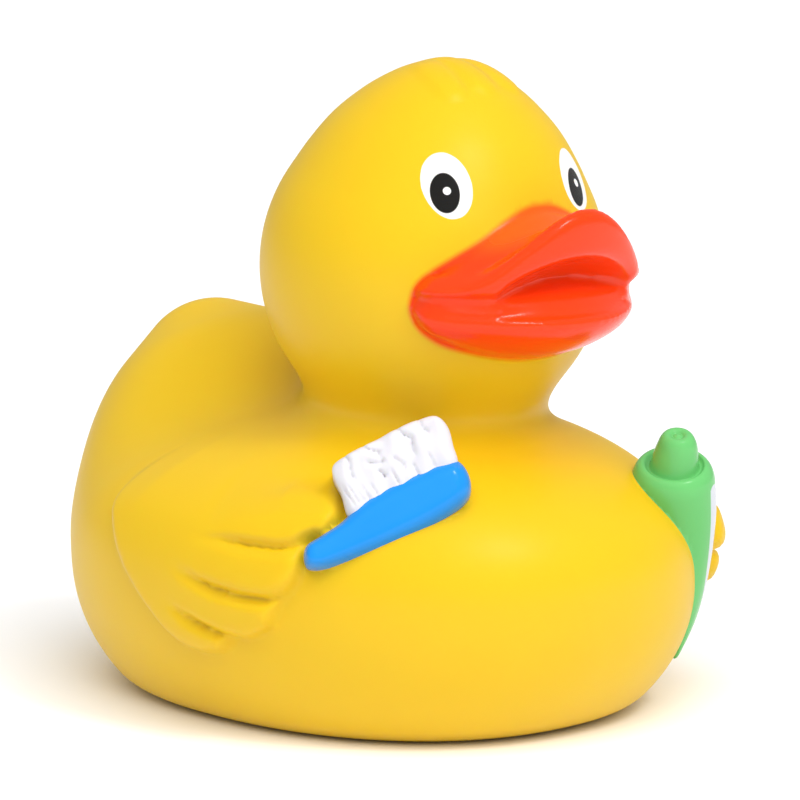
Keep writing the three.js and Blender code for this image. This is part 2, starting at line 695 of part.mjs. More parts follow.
const duck = new THREE.Group();
const pieces = [
  { name: "duck_body", made: shell(), color: 0xf6cf2c, roughness: 0.45, metalness: 0 },
  { name: "squeaker_plug", made: squeakerPlug(), color: 0xe8e6df, roughness: 0.5, metalness: 0 },
  { name: "squeaker_reed_holder", made: reedHolder(), color: 0xdedcd4, roughness: 0.4, metalness: 0 },
  { name: "squeaker_reed", made: reed(), color: 0xb98d3c, roughness: 0.3, metalness: 1 },
];
const meshes = pieces.map(({ name, made, ...finish }) => {
  const mesh = new THREE.Mesh(geometryOf(made), new THREE.MeshStandardMaterial(finish));
  mesh.name = name;
  return mesh;
});
const middle = new THREE.Box3().setFromObject(meshes[0]).getCenter(vector(0, 0, 0));
for (const mesh of meshes) {
  mesh.geometry.translate(-middle.x, -middle.y, 0);
  duck.add(mesh);
}

export default duck;
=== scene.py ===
"""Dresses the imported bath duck: the vinyl moulding with its paints, the squeaker in its base, and the studio.

Metres, in the CAD's frame. The duck faces -Y, its left side is +X, and it stands on Z = 0. Shapes are worked
out in millimetres, as rows of x, y and z.
"""

import logging
import math
from dataclasses import dataclass, field
from enum import Enum

import bpy
import numpy as np
from mathutils import Matrix, Vector


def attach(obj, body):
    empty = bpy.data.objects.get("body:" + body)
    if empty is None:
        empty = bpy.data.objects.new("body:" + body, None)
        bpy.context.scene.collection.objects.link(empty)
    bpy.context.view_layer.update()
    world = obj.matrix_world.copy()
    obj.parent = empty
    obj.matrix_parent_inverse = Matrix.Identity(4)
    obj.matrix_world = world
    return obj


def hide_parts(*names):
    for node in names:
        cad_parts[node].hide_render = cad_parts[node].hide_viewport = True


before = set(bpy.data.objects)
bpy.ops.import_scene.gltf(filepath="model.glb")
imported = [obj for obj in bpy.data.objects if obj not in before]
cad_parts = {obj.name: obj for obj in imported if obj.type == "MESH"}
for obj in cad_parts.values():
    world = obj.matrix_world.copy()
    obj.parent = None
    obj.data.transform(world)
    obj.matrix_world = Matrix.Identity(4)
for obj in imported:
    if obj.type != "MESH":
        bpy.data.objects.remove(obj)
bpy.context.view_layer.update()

MM = 0.001
WEIGHT_LEVELS = 16
log = logging.getLogger("duck")
Piece = bpy.types.Object
Material = bpy.types.Material
Tree = bpy.types.NodeTree
Socket = bpy.types.NodeSocket
Value = Socket | tuple | float


class Finish(Enum):
    """The finishes on the moulding. The value is the material slot."""

    VINYL = 0
    HANDLE = 1
    BRISTLES = 2
    TUBE = 3


class Side(Enum):
    """The duck's own sides. The value is the sign of X."""

    LEFT = 1
    RIGHT = -1


def linear(colour: str) -> tuple[float, float, float, float]:
    """Turns a hex colour into the linear values that Blender's shaders take.

    Args:
        colour: Six hex digits of sRGB, such as "f6cf2c".

    Returns:
        Red, green, blue and an alpha of 1.
    """
    parts = [int(colour[i : i + 2], 16) / 255 for i in (0, 2, 4)]
    red, green, blue = [c / 12.92 if c <= 0.04045 else ((c + 0.055) / 1.055) ** 2.4 for c in parts]
    return red, green, blue, 1.0


def add_node(
    tree: Tree, kind: str, settings: dict | None = None, inputs: dict | None = None
) -> bpy.types.Node:
    """Adds a node with its settings, socket values and links.

    Args:
        tree: The node tree that it goes in.
        kind: The node's type name in bpy.types.
        settings: Values of the node's own properties.
        inputs: Socket values by name or number. A socket given here is linked instead.

    Returns:
        The new node.
    """
    made = tree.nodes.new(kind)
    for name, value in (settings or {}).items():
        setattr(made, name, value)
    for name, value in (inputs or {}).items():
        if isinstance(value, Socket):
            tree.links.new(value, made.inputs[name])
        else:
            made.inputs[name].default_value = value
    return made


def new_material(name: str) -> tuple[Material, Tree]:
    """A new material and its empty node tree."""
    made = bpy.data.materials.new(name)
    made.use_nodes = True
    made.node_tree.nodes.clear()
    return made, made.node_tree


def own_place(tree: Tree) -> Socket:
    """Where a point is on its own piece."""
    return add_node(tree, "ShaderNodeTexCoord").outputs["Object"]


def noise(tree: Tree, scale: float, detail: float) -> Socket:
    """Smooth noise from 0 to 1 over a piece.

    Args:
        tree: The material's node tree.
        scale: How many waves it has in a metre.
        detail: How many times finer waves are added.

    Returns:
        The noise's value.
    """
    inputs = {"Vector": own_place(tree), "Scale": scale, "Detail": detail}
    return add_node(tree, "ShaderNodeTexNoise", None, inputs).outputs["Fac"]


def mixed_colour(tree: Tree, share: Socket, under: Value, over: Value) -> Socket:
    """One colour over another, by a mask from 0 to 1."""
    inputs = {"Factor": share, 6: under, 7: over}
    return add_node(tree, "ShaderNodeMix", {"data_type": "RGBA"}, inputs).outputs[2]


def mixed_number(tree: Tree, share: Socket, under: Value, over: Value) -> Socket:
    """One number over another, by a mask from 0 to 1."""
    inputs = {"Factor": share, 2: under, 3: over}
    return add_node(tree, "ShaderNodeMix", {"data_type": "FLOAT"}, inputs).outputs[0]


def grained(tree: Tree, height: Socket, strength: float, depth_mm: float) -> Socket:
    """The normal of a surface with a fine relief of that depth."""
    inputs = {"Strength": strength, "Distance": depth_mm * MM, "Height": height}
    return add_node(tree, "ShaderNodeBump", None, inputs).outputs["Normal"]


def end_with(tree: Tree, inputs: dict) -> None:
    """Ends a material with a shader that takes these values and links."""
    shader = add_node(tree, "ShaderNodeBsdfPrincipled", None, inputs)
    add_node(tree, "ShaderNodeOutputMaterial", None, {"Surface": shader.outputs["BSDF"]})


def alone(piece: Piece) -> None:
    """Selects only this piece and makes it the active one."""
    if bpy.context.mode != "OBJECT":
        bpy.ops.object.mode_set(mode="OBJECT")
    bpy.ops.object.select_all(action="DESELECT")
    piece.select_set(True)
    bpy.context.view_layer.objects.active = piece


def finish_with(piece: Piece, kind: str, **settings: object) -> None:
    """Gives a piece a modifier and applies it.

    Args:
        piece: The mesh object.
        kind: The modifier's type, such as "REMESH".
        settings: The modifier's properties.
    """
    alone(piece)
    modifier = piece.modifiers.new(kind.title(), kind)
    for name, value in settings.items():
        setattr(modifier, name, value)
    bpy.ops.object.modifier_apply(modifier=modifier.name)


def remesh(piece: Piece, cell: float) -> None:
    """Makes a piece's faces anew, as even cells of that size in millimetres."""
    finish_with(piece, "REMESH", mode="VOXEL", voxel_size=cell * MM, adaptivity=0.0)


def smooth(piece: Piece, turns: int, group: str = "") -> None:
    """Smooths a piece so many times, by the weights of a vertex group."""
    finish_with(piece, "SMOOTH", factor=0.5, iterations=turns, vertex_group=group)


def face_outwards(piece: Piece) -> None:
    """Turns all of a closed piece's faces outwards."""
    alone(piece)
    bpy.ops.object.mode_set(mode="EDIT")
    bpy.ops.mesh.select_all(action="SELECT")
    bpy.ops.mesh.normals_make_consistent(inside=False)
    bpy.ops.object.mode_set(mode="OBJECT")


def joined(pieces: list[Piece]) -> Piece:
    """Joins mesh objects into the first of them."""
    alone(pieces[0])
    for piece in pieces:
        piece.select_set(True)
    bpy.ops.object.join()
    return pieces[0]


def points_of(piece: Piece) -> np.ndarray:
    """The piece's vertices in millimetres, one row each."""
    flat = np.empty(3 * len(piece.data.vertices), np.float32)
    piece.data.vertices.foreach_get("co", flat)
    return flat.reshape(-1, 3).astype(float) / MM


def move_points(piece: Piece, points: np.ndarray) -> None:
    """Puts the piece's vertices at these places, in millimetres."""
    piece.data.vertices.foreach_set("co", (points * MM).astype(np.float32).ravel())
    piece.data.update()


def at_table(value: np.ndarray, table: tuple) -> np.ndarray:
    """What a table of (place, value) rows gives at each place, straight between its rows."""
    return np.interp(value, *np.array(table).T)


def way_at(azimuth: float, elevation: float) -> tuple[float, float, float]:
    """The way towards an azimuth from the duck's front and an elevation, in degrees."""
    turn, rise = math.radians(azimuth), math.radians(elevation)
    return math.sin(turn) * math.cos(rise), -math.cos(turn) * math.cos(rise), math.sin(rise)


def ease(low: float, high: float, value: np.ndarray) -> np.ndarray:
    """A smooth step from 0 at low to 1 at high."""
    share = np.clip((value - low) / (high - low), 0, 1)
    return share * share * (3 - 2 * share)


def rounded(share: np.ndarray) -> np.ndarray:
    """The height of a quarter circle at a share of its width, from 0 at 0 to 1 from 1 on."""
    return np.sqrt(1 - (1 - np.clip(share, 0, 1)) ** 2)


def mix(start: float, end: float, share: float) -> float:
    """The value at a share of the way from start to end."""
    return start + (end - start) * share


def weigh(piece: Piece, name: str, weights: np.ndarray) -> str:
    """Stores weights from 0 to 1 as a vertex group.

    Args:
        piece: The mesh object.
        name: The group's name.
        weights: One weight for each vertex. They are rounded to even levels.

    Returns:
        The group's name, for a modifier.
    """
    group = piece.vertex_groups.get(name) or piece.vertex_groups.new(name=name)
    levels = np.rint(np.clip(weights, 0, 1) * WEIGHT_LEVELS).astype(int)
    for level in range(WEIGHT_LEVELS + 1):
        chosen = np.nonzero(levels == level)[0]
        if len(chosen):
            group.add(chosen.tolist(), level / WEIGHT_LEVELS, "REPLACE")
    return name


def keep_field(piece: Piece, name: str, values: np.ndarray) -> None:
    """Stores one number for each vertex, for a material to read."""
    attribute = piece.data.attributes.new(name, "FLOAT", "POINT")
    attribute.data.foreach_set("value", values.astype(np.float32))


def line_distance(points: np.ndarray, corners: np.ndarray) -> tuple[np.ndarray, np.ndarray]:
    """How far points are from a line with corners.

    Args:
        points: Rows of coordinates.
        corners: The line's corners, rows of as many coordinates.

    Returns:
        The distances, and how far along the line the nearest place is, from 0 to 1.
    """
    nearest = np.full(len(points), 1e9)
    along = np.zeros(len(points))
    count = len(corners) - 1
    for i, (start, end) in enumerate(zip(corners[:-1], corners[1:])):
        way = end - start
        offset = points - start
        share = np.clip(offset @ way / (way @ way), 0, 1)
        distance = np.linalg.norm(offset - share[:, None] * way, axis=1)
        closer = distance < nearest
        nearest = np.where(closer, distance, nearest)
        along = np.where(closer, (i + share) / count, along)
    return nearest, along


def depth_in_outline(points: np.ndarray, outline: np.ndarray) -> np.ndarray:
    """How far points lie inside a closed flat outline.

    Args:
        points: Rows of two coordinates.
        outline: The outline's corners, rows of two coordinates.

    Returns:
        The distance to the outline, positive inside and negative outside.
    """
    nearest, _ = line_distance(points, np.vstack([outline, outline[:1]]))
    inside = np.zeros(len(points), bool)
    for start, end in zip(outline, np.roll(outline, -1, axis=0)):
        spans = (start[1] > points[:, 1]) != (end[1] > points[:, 1])
        rise = end[1] - start[1] if abs(end[1] - start[1]) > 1e-12 else 1e-12
        inside ^= spans & (points[:, 0] < start[0] + (end[0] - start[0]) * (points[:, 1] - start[1]) / rise)
    return np.where(inside, nearest, -nearest)


def smooth_outline(corners: object, per_side: int = 6) -> np.ndarray:
    """A closed curve through the corners that doesn't overshoot at close ones.

    Args:
        corners: The places that it goes through, rows of coordinates.
        per_side: How many points it has between two corners.

    Returns:
        The curve's points.
    """
    here = np.array(corners, float)
    before, after, beyond = (np.roll(here, shift, axis=0) for shift in (1, -1, -2))
    sides = ((before, here), (here, after), (after, beyond))
    gaps = [np.linalg.norm(end - start, axis=1, keepdims=True) ** 0.5 for start, end in sides]
    leave = (here - before) / gaps[0] - (after - before) / (gaps[0] + gaps[1]) + (after - here) / gaps[1]
    arrive = (after - here) / gaps[1] - (beyond - here) / (gaps[1] + gaps[2]) + (beyond - after) / gaps[2]
    leave, arrive = leave * gaps[1], arrive * gaps[1]
    rows = []
    for t in np.arange(per_side) / per_side:
        rows.append(
            (2 * t**3 - 3 * t**2 + 1) * here
            + (t**3 - 2 * t**2 + t) * leave
            + (3 * t**2 - 2 * t**3) * after
            + (t**3 - t**2) * arrive
        )
    return np.stack(rows, axis=1).reshape(-1, here.shape[1])


def lofted(name: str, sections: list[np.ndarray], finish: Finish) -> Piece:
    """The closed skin through closed sections of as many points each, which no primitive has the shape of.

    Args:
        name: The object's name.
        sections: Rows of x, y and z in millimetres. Both ends are closed by a fan.
        finish: What it is painted with.

    Returns:
        The mesh object, with its faces turned outwards.
    """
    count = len(sections[0])
    ends = np.array([sections[0].mean(0), sections[-1].mean(0)])
    points = np.vstack([*sections, ends])
    near = np.arange(count)
    beside = (near + 1) % count
    faces = []
    for row in range(len(sections) - 1):
        low, high = row * count, (row + 1) * count
        faces += np.stack([low + near, low + beside, high + beside, high + near], axis=1).tolist()
    first = len(points) - 2
    last_row = (len(sections) - 1) * count
    faces += [(int(b), int(a), first) for a, b in zip(near, beside)]
    faces += [(int(last_row + a), int(last_row + b), first + 1) for a, b in zip(near, beside)]
    mesh = bpy.data.meshes.new(name)
    mesh.from_pydata((points * MM).tolist(), [], faces)
    piece = bpy.data.objects.new(name, mesh)
    bpy.context.collection.objects.link(piece)
    face_outwards(piece)
    paint_all(piece, finish)
    return piece


def paint_all(piece: Piece, finish: Finish) -> None:
    """Gives a whole piece one finish's slot, beside empty slots for the others."""
    while len(piece.data.materials) < len(Finish):
        piece.data.materials.append(None)
    chosen = np.full(len(piece.data.polygons), finish.value, np.int32)
    piece.data.polygons.foreach_set("material_index", chosen)
    piece.data.update()


@dataclass
class DuckForm:
    """The plain form under all the relief: torso, tail and head, measured from the middle of the torso.

    The two ends of the tail are (how far back, how high, radius).
    """

    middle: tuple[float, float] = (-0.22, -1.08)
    torso_side: float = 34
    torso_front: float = 43
    torso_back: float = 40.5
    torso_waist: float = 17.5
    torso_rise: float = 19.7
    torso_drop: float = 26.4
    torso_fullness: float = 2.22
    base_edge: float = 2.5
    head_forward: float = 10.8
    head_height: float = 54.5
    head_radius: float = 21
    head_widening: float = 1.03
    head_swell: float = 0.75
    crown_forward: float = 12.4
    crown_height: float = 65.6
    crown_radius: float = 13.7
    neck_blend: float = 7.2
    tail_root: tuple[float, float, float] = (25.3, 26, 19.7)
    tail_tip: tuple[float, float, float] = (30.9, 36, 10.3)
    tail_blend: float = 8.5
    head_ball_rise: float = 3
    slope_step: float = 0.02
    least_steepness: float = 0.3
    farthest: float = 90.0
    halvings: int = 40

    def from_middle(self, points: np.ndarray) -> np.ndarray:
        """The points measured from the middle of the torso."""
        return points - np.array([self.middle[0], self.middle[1], 0])

    def azimuth(self, points: np.ndarray) -> np.ndarray:
        """How many degrees the points are round from the front, towards the duck's left."""
        own = self.from_middle(points)
        return np.degrees(np.arctan2(own[:, 0], -own[:, 1]))

    def torso(self, points: np.ndarray) -> np.ndarray:
        """The distance outside the torso's egg."""
        x, y, z = points.T
        along = np.where(y < 0, self.torso_front, self.torso_back)
        upright = np.where(z < self.torso_waist, self.torso_drop, self.torso_rise)
        radii = np.stack([np.full(len(x), self.torso_side), along, upright])
        shares = np.abs(np.stack([x, y, z - self.torso_waist]) / radii)
        value = np.maximum((shares**self.torso_fullness).sum(0) ** (1 / self.torso_fullness), 1e-6)
        slope = np.linalg.norm((shares / value) ** (self.torso_fullness - 1) / radii, axis=0)
        return (value - 1) / slope

    def ball_pair(self, points: np.ndarray, start: tuple, end: tuple, swell: float = 0.0) -> np.ndarray:
        """The distance outside two balls and the cone that wraps both.

        Args:
            points: Rows of x, y and z.
            start: The first ball's y, z and radius.
            end: The second ball's y, z and radius.
            swell: How far it swells at half the cone's length, less and less towards both balls.

        Returns:
            One distance for each point.
        """
        way = np.array([0, end[0] - start[0], end[1] - start[1]], float)
        span = np.linalg.norm(way)
        way /= span
        lean = (start[2] - end[2]) / span
        upright = math.sqrt(1 - lean * lean)
        offset = points - np.array([0, start[0], start[1]])
        along = offset @ way
        out = np.sqrt(np.maximum((offset**2).sum(1) - along**2, 0))
        slid = along * upright - out * lean
        side = out * upright + along * lean - start[2]
        first = np.hypot(along, out) - start[2]
        last = np.hypot(along - span, out) - end[2]
        distance = np.where(slid < 0, first, np.where(slid > span * upright, last, side))
        off_half = np.clip(slid / (span * upright) - 0.5, -1, 1)
        return distance - swell * np.cos(np.pi / 2 * off_half) ** 2

    def blended(self, a: np.ndarray, b: np.ndarray, size: float) -> np.ndarray:
        """Two forms' distances joined by a fillet of about that size."""
        share = np.maximum(size - np.abs(a - b), 0) / size
        return np.minimum(a, b) - share**2 * size / 4

    def outside(self, points: np.ndarray) -> np.ndarray:
        """The distance of points outside the plain form, without its base.

        Args:
            points: Rows of x, y and z in the row frame, in millimetres.

        Returns:
            One distance for each point, negative inside.
        """
        own = self.from_middle(points)
        tail = self.ball_pair(own, self.tail_root, self.tail_tip)
        body = self.blended(self.torso(own), tail, self.tail_blend)
        squeezed = own * np.array([1 / self.head_widening, self.head_widening, 1])
        squeezed[:, 1] += self.head_forward * (self.head_widening - 1)
        head = self.ball_pair(
            squeezed,
            (-self.head_forward, self.head_height, self.head_radius),
            (-self.crown_forward, self.crown_height, self.crown_radius),
            self.head_swell,
        )
        return self.blended(body, head, self.neck_blend)

    def standing(self, points: np.ndarray) -> np.ndarray:
        """The distance outside the form where its flat base cuts it."""
        skin = self.outside(points)
        base = -points[:, 2]
        share = np.maximum(self.base_edge - np.abs(skin - base), 0) / self.base_edge
        return np.maximum(skin, base) + share**2 * self.base_edge / 4

    def way_out(self, points: np.ndarray) -> np.ndarray:
        """The steepest way out of the standing form at each point, with its slope as its length."""
        step = self.slope_step
        ways = []
        for axis in np.eye(3):
            ways.append(self.standing(points + step * axis) - self.standing(points - step * axis))
        return np.stack(ways, axis=1) / (2 * step)

    def drawn_closer(self, points: np.ndarray, share: np.ndarray | float = 1.0) -> np.ndarray:
        """The points moved onto the standing form by one Newton step, or by a share of it."""
        way = self.way_out(points)
        steepness = np.maximum((way**2).sum(1), self.least_steepness)
        return points - way * (share * self.standing(points) / steepness)[:, None]

    def skin_place(self, azimuth: float, height: float) -> np.ndarray:
        """The place on the skin at an azimuth from the front, in degrees, and a height."""
        turn = math.radians(azimuth)
        ray = np.array([math.sin(turn), -math.cos(turn), 0])
        foot = np.array([self.middle[0], self.middle[1], height])
        inside, outside = 0.0, self.farthest
        for _ in range(self.halvings):
            middle = (inside + outside) / 2
            if self.outside((foot + middle * ray)[None])[0] < 0:
                inside = middle
            else:
                outside = middle
        return foot + inside * ray

    def make(self, cell: float) -> Piece:
        """Builds the plain skin from three balls that are melted together and drawn onto the form.

        Args:
            cell: The size of its faces in millimetres.

        Returns:
            The mesh object.
        """
        balls = [
            ((0, 0, self.torso_waist), (self.torso_side, self.torso_front, self.torso_drop)),
            ((0, self.tail_root[0], self.tail_root[1]), (self.tail_root[2],) * 3),
            ((0, -self.head_forward, self.head_height + self.head_ball_rise), (self.head_radius,) * 3),
        ]
        middle = np.array([*self.middle, 0])
        pieces = []
        for place, radii in balls:
            bpy.ops.mesh.primitive_uv_sphere_add(segments=96, ring_count=48, radius=1)
            ball = bpy.context.active_object
            move_points(ball, points_of(ball) * MM * np.array(radii) + np.array(place) + middle)
            pieces.append(ball)
        piece = joined(pieces)
        remesh(piece, cell)
        for _ in range(3):
            self.draw_onto(piece, 4)
            remesh(piece, cell)
        return piece

    def draw_onto(self, piece: Piece, turns: int) -> None:
        """Moves a piece's points onto the standing form in so many turns."""
        points = points_of(piece)
        for _ in range(turns):
            points = self.drawn_closer(points)
        move_points(piece, points)


@dataclass(frozen=True)
class Wing:
    """A wing in low relief, wrapped round the torso: a palm whose top runs out softly, and four fingers.

    Places are (azimuth from the front in degrees, height in millimetres). They are those of the right wing.
    The left one has the same drawing, but its fingers are drawn out over the tube.
    """

    side: Side
    lift: float = 2.3
    edge_width: float = 2.4
    degree_mm: float = 0.628
    edge_soft: tuple = ((80, 0.4), (105, 1.5))
    groove_width: float = 1.35
    groove_depth: float = 1.0
    groove_soft: float = 0.06
    reach: float = 0.0
    droop: float = 0.0
    tip_lift: float = 0.0
    top_rise: float = 0.0
    finger_root: float = 94
    finger_span: float = 53
    farthest_out: float = 1.4
    tip_profile: tuple = ((13, 0), (18, 1.2), (22, 1.2), (27, 0.9))
    azimuths: tuple[float, float] = (44, 120)
    heights: tuple[float, float] = (6, 40)
    highest: float = 44
    groove_run_in: tuple[float, float] = (-0.05, 0.45)
    edge: tuple = (
        (113.5, 44), (113.5, 39), (113.5, 34), (113.4, 30), (111.8, 26), (105.6, 21.6), (99.9, 18.1),
        (92.3, 14.3), (84.8, 11.3), (77.5, 10.5), (71.6, 11.2), (69.6, 12.7), (65.2, 13.2),
        (60.6, 14.8), (58.8, 17.4), (56.6, 19.3), (54.5, 22), (53.9, 24.6), (50.2, 25.6), (48.1, 27.6),
        (48.1, 30.5), (48.3, 34), (48.5, 39), (48.5, 44), (60, 46), (80, 46), (100, 46),
    )
    top: tuple = ((48, 31.4), (52, 31.6), (61, 31.8), (79, 33.6), (99, 34.4), (109, 33.2), (114, 31))
    top_width: tuple = ((48, 3.0), (60, 3.6), (76, 8), (114, 9))
    grooves: tuple = (
        ((79, 24.4), (72, 24.5), (66, 24.2), (60, 24.2), (56, 24.6), (52, 25.6)),
        ((83, 20.6), (78, 19.6), (72.7, 18.8), (66, 18.3), (61, 18.3), (57, 19)),
        ((85, 16.2), (80, 14.9), (76.6, 14.2), (71.4, 13.4), (67, 13)),
    )

    def drawn(self, form: DuckForm, points: np.ndarray) -> tuple[np.ndarray, np.ndarray, np.ndarray]:
        """The points' azimuths and heights on the right wing's drawing.

        Args:
            form: The plain form.
            points: Rows of x, y and z in millimetres.

        Returns:
            Azimuths from the front, heights, and how far out along the fingers each point is, from 0 up.
        """
        azimuth = self.side.value * form.azimuth(points)
        out = np.clip((self.finger_root - azimuth) / self.finger_span, 0, self.farthest_out)
        return azimuth + self.reach * out, points[:, 2] + self.droop * out, out

    def height(self, form: DuckForm, points: np.ndarray) -> np.ndarray:
        """How far the wing stands out of the plain form at each point, in millimetres."""
        azimuth, height, out = self.drawn(form, points)
        flat = np.stack([azimuth * self.degree_mm, height], axis=1)
        lifts = np.zeros(len(points))
        near = (azimuth > self.azimuths[0]) & (azimuth < self.azimuths[1])
        near &= (height > self.heights[0]) & (height < self.heights[1]) & (points[:, 2] < self.highest)
        flat, azimuth, height, out = flat[near], azimuth[near], height[near], out[near]
        if not len(flat):
            return lifts
        edge = smooth_outline([(a * self.degree_mm, z) for a, z in self.edge], 5)
        lift = self.lift + self.tip_lift * out * at_table(height, self.tip_profile)
        depth = depth_in_outline(flat, edge)
        soft = at_table(azimuth, self.edge_soft)
        share = rounded((depth + soft) / (self.edge_width * np.sqrt(lift / self.lift) + soft))
        share *= ease(0, 1, (depth + soft) / (3 * soft))
        foot = at_table(azimuth, self.top) + self.top_rise * out
        share *= 1 - ease(0, 1, (height - foot) / at_table(azimuth, self.top_width) + 1)
        for groove in self.grooves:
            line = np.array(groove) * np.array([self.degree_mm, 1])
            distance, along = line_distance(flat, line)
            cut = self.groove_depth * ease(*self.groove_run_in, along)
            share *= 1 - cut * (1 - rounded(np.hypot(distance, self.groove_soft) / self.groove_width))
        lifts[near] = lift * share
        return lifts


@dataclass(frozen=True)
class Crest:
    """Three soft tufts that sweep forward over the crown, each a low ridge along a line on the skin."""

    lift: float = 0.42
    width: float = 2.6
    lowest: float = 64
    run_in: float = 0.5
    side_soft: float = 0.6
    ridges: tuple = (
        ((-0.3, -9, 79.6), (-0.4, -14, 79.2), (-0.6, -20, 76.8)),
        ((-2, -9.5, 79.3), (-4, -14.5, 78.6), (-5, -19.3, 76.3)),
        ((1.8, -9.5, 79.3), (3.4, -14.5, 78.6), (4.3, -19, 76.3)),
    )

    def height(self, form: DuckForm, points: np.ndarray) -> np.ndarray:
        """How far the crest stands out of the plain form at each point, in millimetres."""
        lifts = np.zeros(len(points))
        near = points[:, 2] > self.lowest
        for ridge in self.ridges:
            line = np.array(ridge) + np.array([form.middle[0], form.middle[1], 0])
            distance, along = line_distance(points[near], line)
            share = np.clip(1 - distance / self.width, 0, 1)
            lifted = self.lift * ease(0, self.run_in, along) * rounded(share) * ease(0, self.side_soft, share)
            lifts[near] = np.maximum(lifts[near], lifted)
        return lifts


@dataclass(frozen=True)
class Beak:
    """The beak, a loft from one corner of the mouth to the other. Each section stands in an upright plane
    through a pivot inside the head. A pair of values is the one ahead and the one at the mouth's corners."""

    pivot: float = -16.9
    reach: float = 19.5
    corner_reach: float = 17.4
    tip_reach: float = 1.7
    half_angle: float = 65
    curl_angle: float = 50
    open_angle: float = 33
    throat_reach: float = 15.1
    roof_rise: float = 4.6
    mouth_height: float = 53.1
    curl_rise: float = 8.6
    bridge_rise: float = 9.5
    chin_drop: float = 8.7
    lower_lip_reach: float = 20.5
    lower_lip_drop: float = 2.9
    root_reach: tuple[float, float] = (13.2, 16.6)
    chin_reach: tuple[float, float] = (12.6, 16.9)
    rim_rise: tuple[float, float] = (1.5, 0.6)
    steps: int = 45
    outer_arc: float = 26
    search_heights: tuple[float, float] = (38, 69)
    search_front: float = -17
    off_beak: float = -9
    skirt: float = -6
    spray_lap: float = 0.9
    thin_heights: tuple[float, float] = (56.5, 59.5)
    thin_reaches: tuple[float, float] = (15.2, 19.2)
    thin_angles: tuple[float, float] = (0.45, 0.85)
    paint_reach: float = 18.2
    paint_edge: tuple = (
        (0, 44.7), (17, 44.8), (42.2, 45.9), (55.3, 47.1), (62.7, 48.9), (65.3, 50.8), (65, 52.8),
        (61.9, 54.9), (50.6, 57.3), (38.1, 59.3), (22.9, 61.7), (10, 62.9), (0, 63.1),
    )

    def wave(self, turn: float, limit: float, power: float) -> float:
        """A cosine hump that is 1 straight ahead and 0 from the limiting angle on."""
        return max(math.cos(math.pi / 2 * turn / limit), 0) ** power

    def section(self, angle: float) -> list[tuple[float, float]]:
        """The beak's outline at an angle from the front.

        Args:
            angle: The angle in degrees, to either side.

        Returns:
            (reach, height) corners in millimetres, from the top round the front to the throat.
        """
        turn = abs(angle)
        mouth = self.mouth_height
        curl = self.wave(turn, self.curl_angle, 2) if turn < self.curl_angle else 0
        corner = float(ease(self.half_angle - 10, self.half_angle + 6, np.float64(turn)))
        opened = self.wave(turn, self.open_angle, 0.7) if turn < self.open_angle else 0
        round_end = 1 - self.wave(turn, self.half_angle + 4, 0.9)

        tip = self.reach + self.tip_reach * self.wave(turn, self.curl_angle + 20, 0.6)
        rim = mix(tip, self.corner_reach, corner)
        rim_height = mouth + mix(*self.rim_rise, corner) + self.curl_rise * curl
        root = mix(*self.root_reach, round_end)
        root_height = mouth + self.bridge_rise * self.wave(turn, self.half_angle + 1, 0.8)
        ahead = mix(self.lower_lip_reach, self.reach + 0.5, float(ease(0, 45, np.float64(turn))))
        lip = mix(ahead, self.corner_reach, corner)
        lip_height = mouth - self.lower_lip_drop * mix(self.wave(turn, 110, 1), 0.1, corner)
        chin = mix(*self.chin_reach, round_end)
        chin_height = mouth - self.chin_drop * self.wave(turn, self.half_angle + 3, 0.35)
        throat = mix(mix(lip - 0.7, self.throat_reach, opened), self.corner_reach - 0.5, corner)
        throat_height = mouth + mix(-0.3, 1.5, opened)
        roof = mouth + 0.25 + (self.roof_rise - 0.25) * opened
        sunk = mix(0.1, 2.2, curl)
        shelf = rim_height + mix(1.0, -1.2, min(1, 1.5 * curl)) * (1 - corner)
        return [
            (root - 4, root_height + 0.4),
            (root - 0.8, root_height),
            (mix(root, rim, 0.42), mix(root_height, rim_height, 0.45) - sunk),
            (rim - 2.3, shelf),
            (rim - 1, rim_height),
            (rim, rim_height - 0.8),
            (rim - 0.1, mix(rim_height - 0.8, roof, 0.6)),
            (rim - 0.8, roof),
            (mix(throat, rim - 0.8, 0.4), mix(throat_height, roof, 0.6)),
            (throat, throat_height),
            (mix(throat, lip, 0.5), mix(throat_height, lip_height, 0.5) + 0.5 * opened - 0.1),
            (lip - 1, lip_height + 0.5),
            (lip, lip_height - 0.3),
            (lip - 0.9, lip_height - mix(2.1, 0.9, corner)),
            (mix(lip, chin, 0.5), mix(lip_height, chin_height, 0.68) - 0.2),
            (chin - 1, chin_height - 0.2),
            (chin - 4, chin_height - 2.5),
        ]

    def make(self, form: DuckForm) -> Piece:
        """Builds the beak, with its root inside the head."""
        sections = []
        for step in range(-self.steps, self.steps + 1):
            turn = math.radians((self.half_angle + 8) * step / self.steps)
            outline = smooth_outline(self.section(math.degrees(turn)), 5)
            reach, height = outline.T
            x = form.middle[0] + reach * math.sin(turn)
            y = form.middle[1] + self.pivot - reach * math.cos(turn)
            sections.append(np.stack([x, y, height], axis=1))
        return lofted("beak", sections, Finish.VINYL)

    def polar(self, form: DuckForm, points: np.ndarray) -> tuple[np.ndarray, np.ndarray]:
        """The points' angles from the front and reaches about the pivot, in radians and millimetres."""
        own = form.from_middle(points)
        forward = self.pivot - own[:, 1]
        return np.arctan2(own[:, 0], forward), np.hypot(own[:, 0], forward)

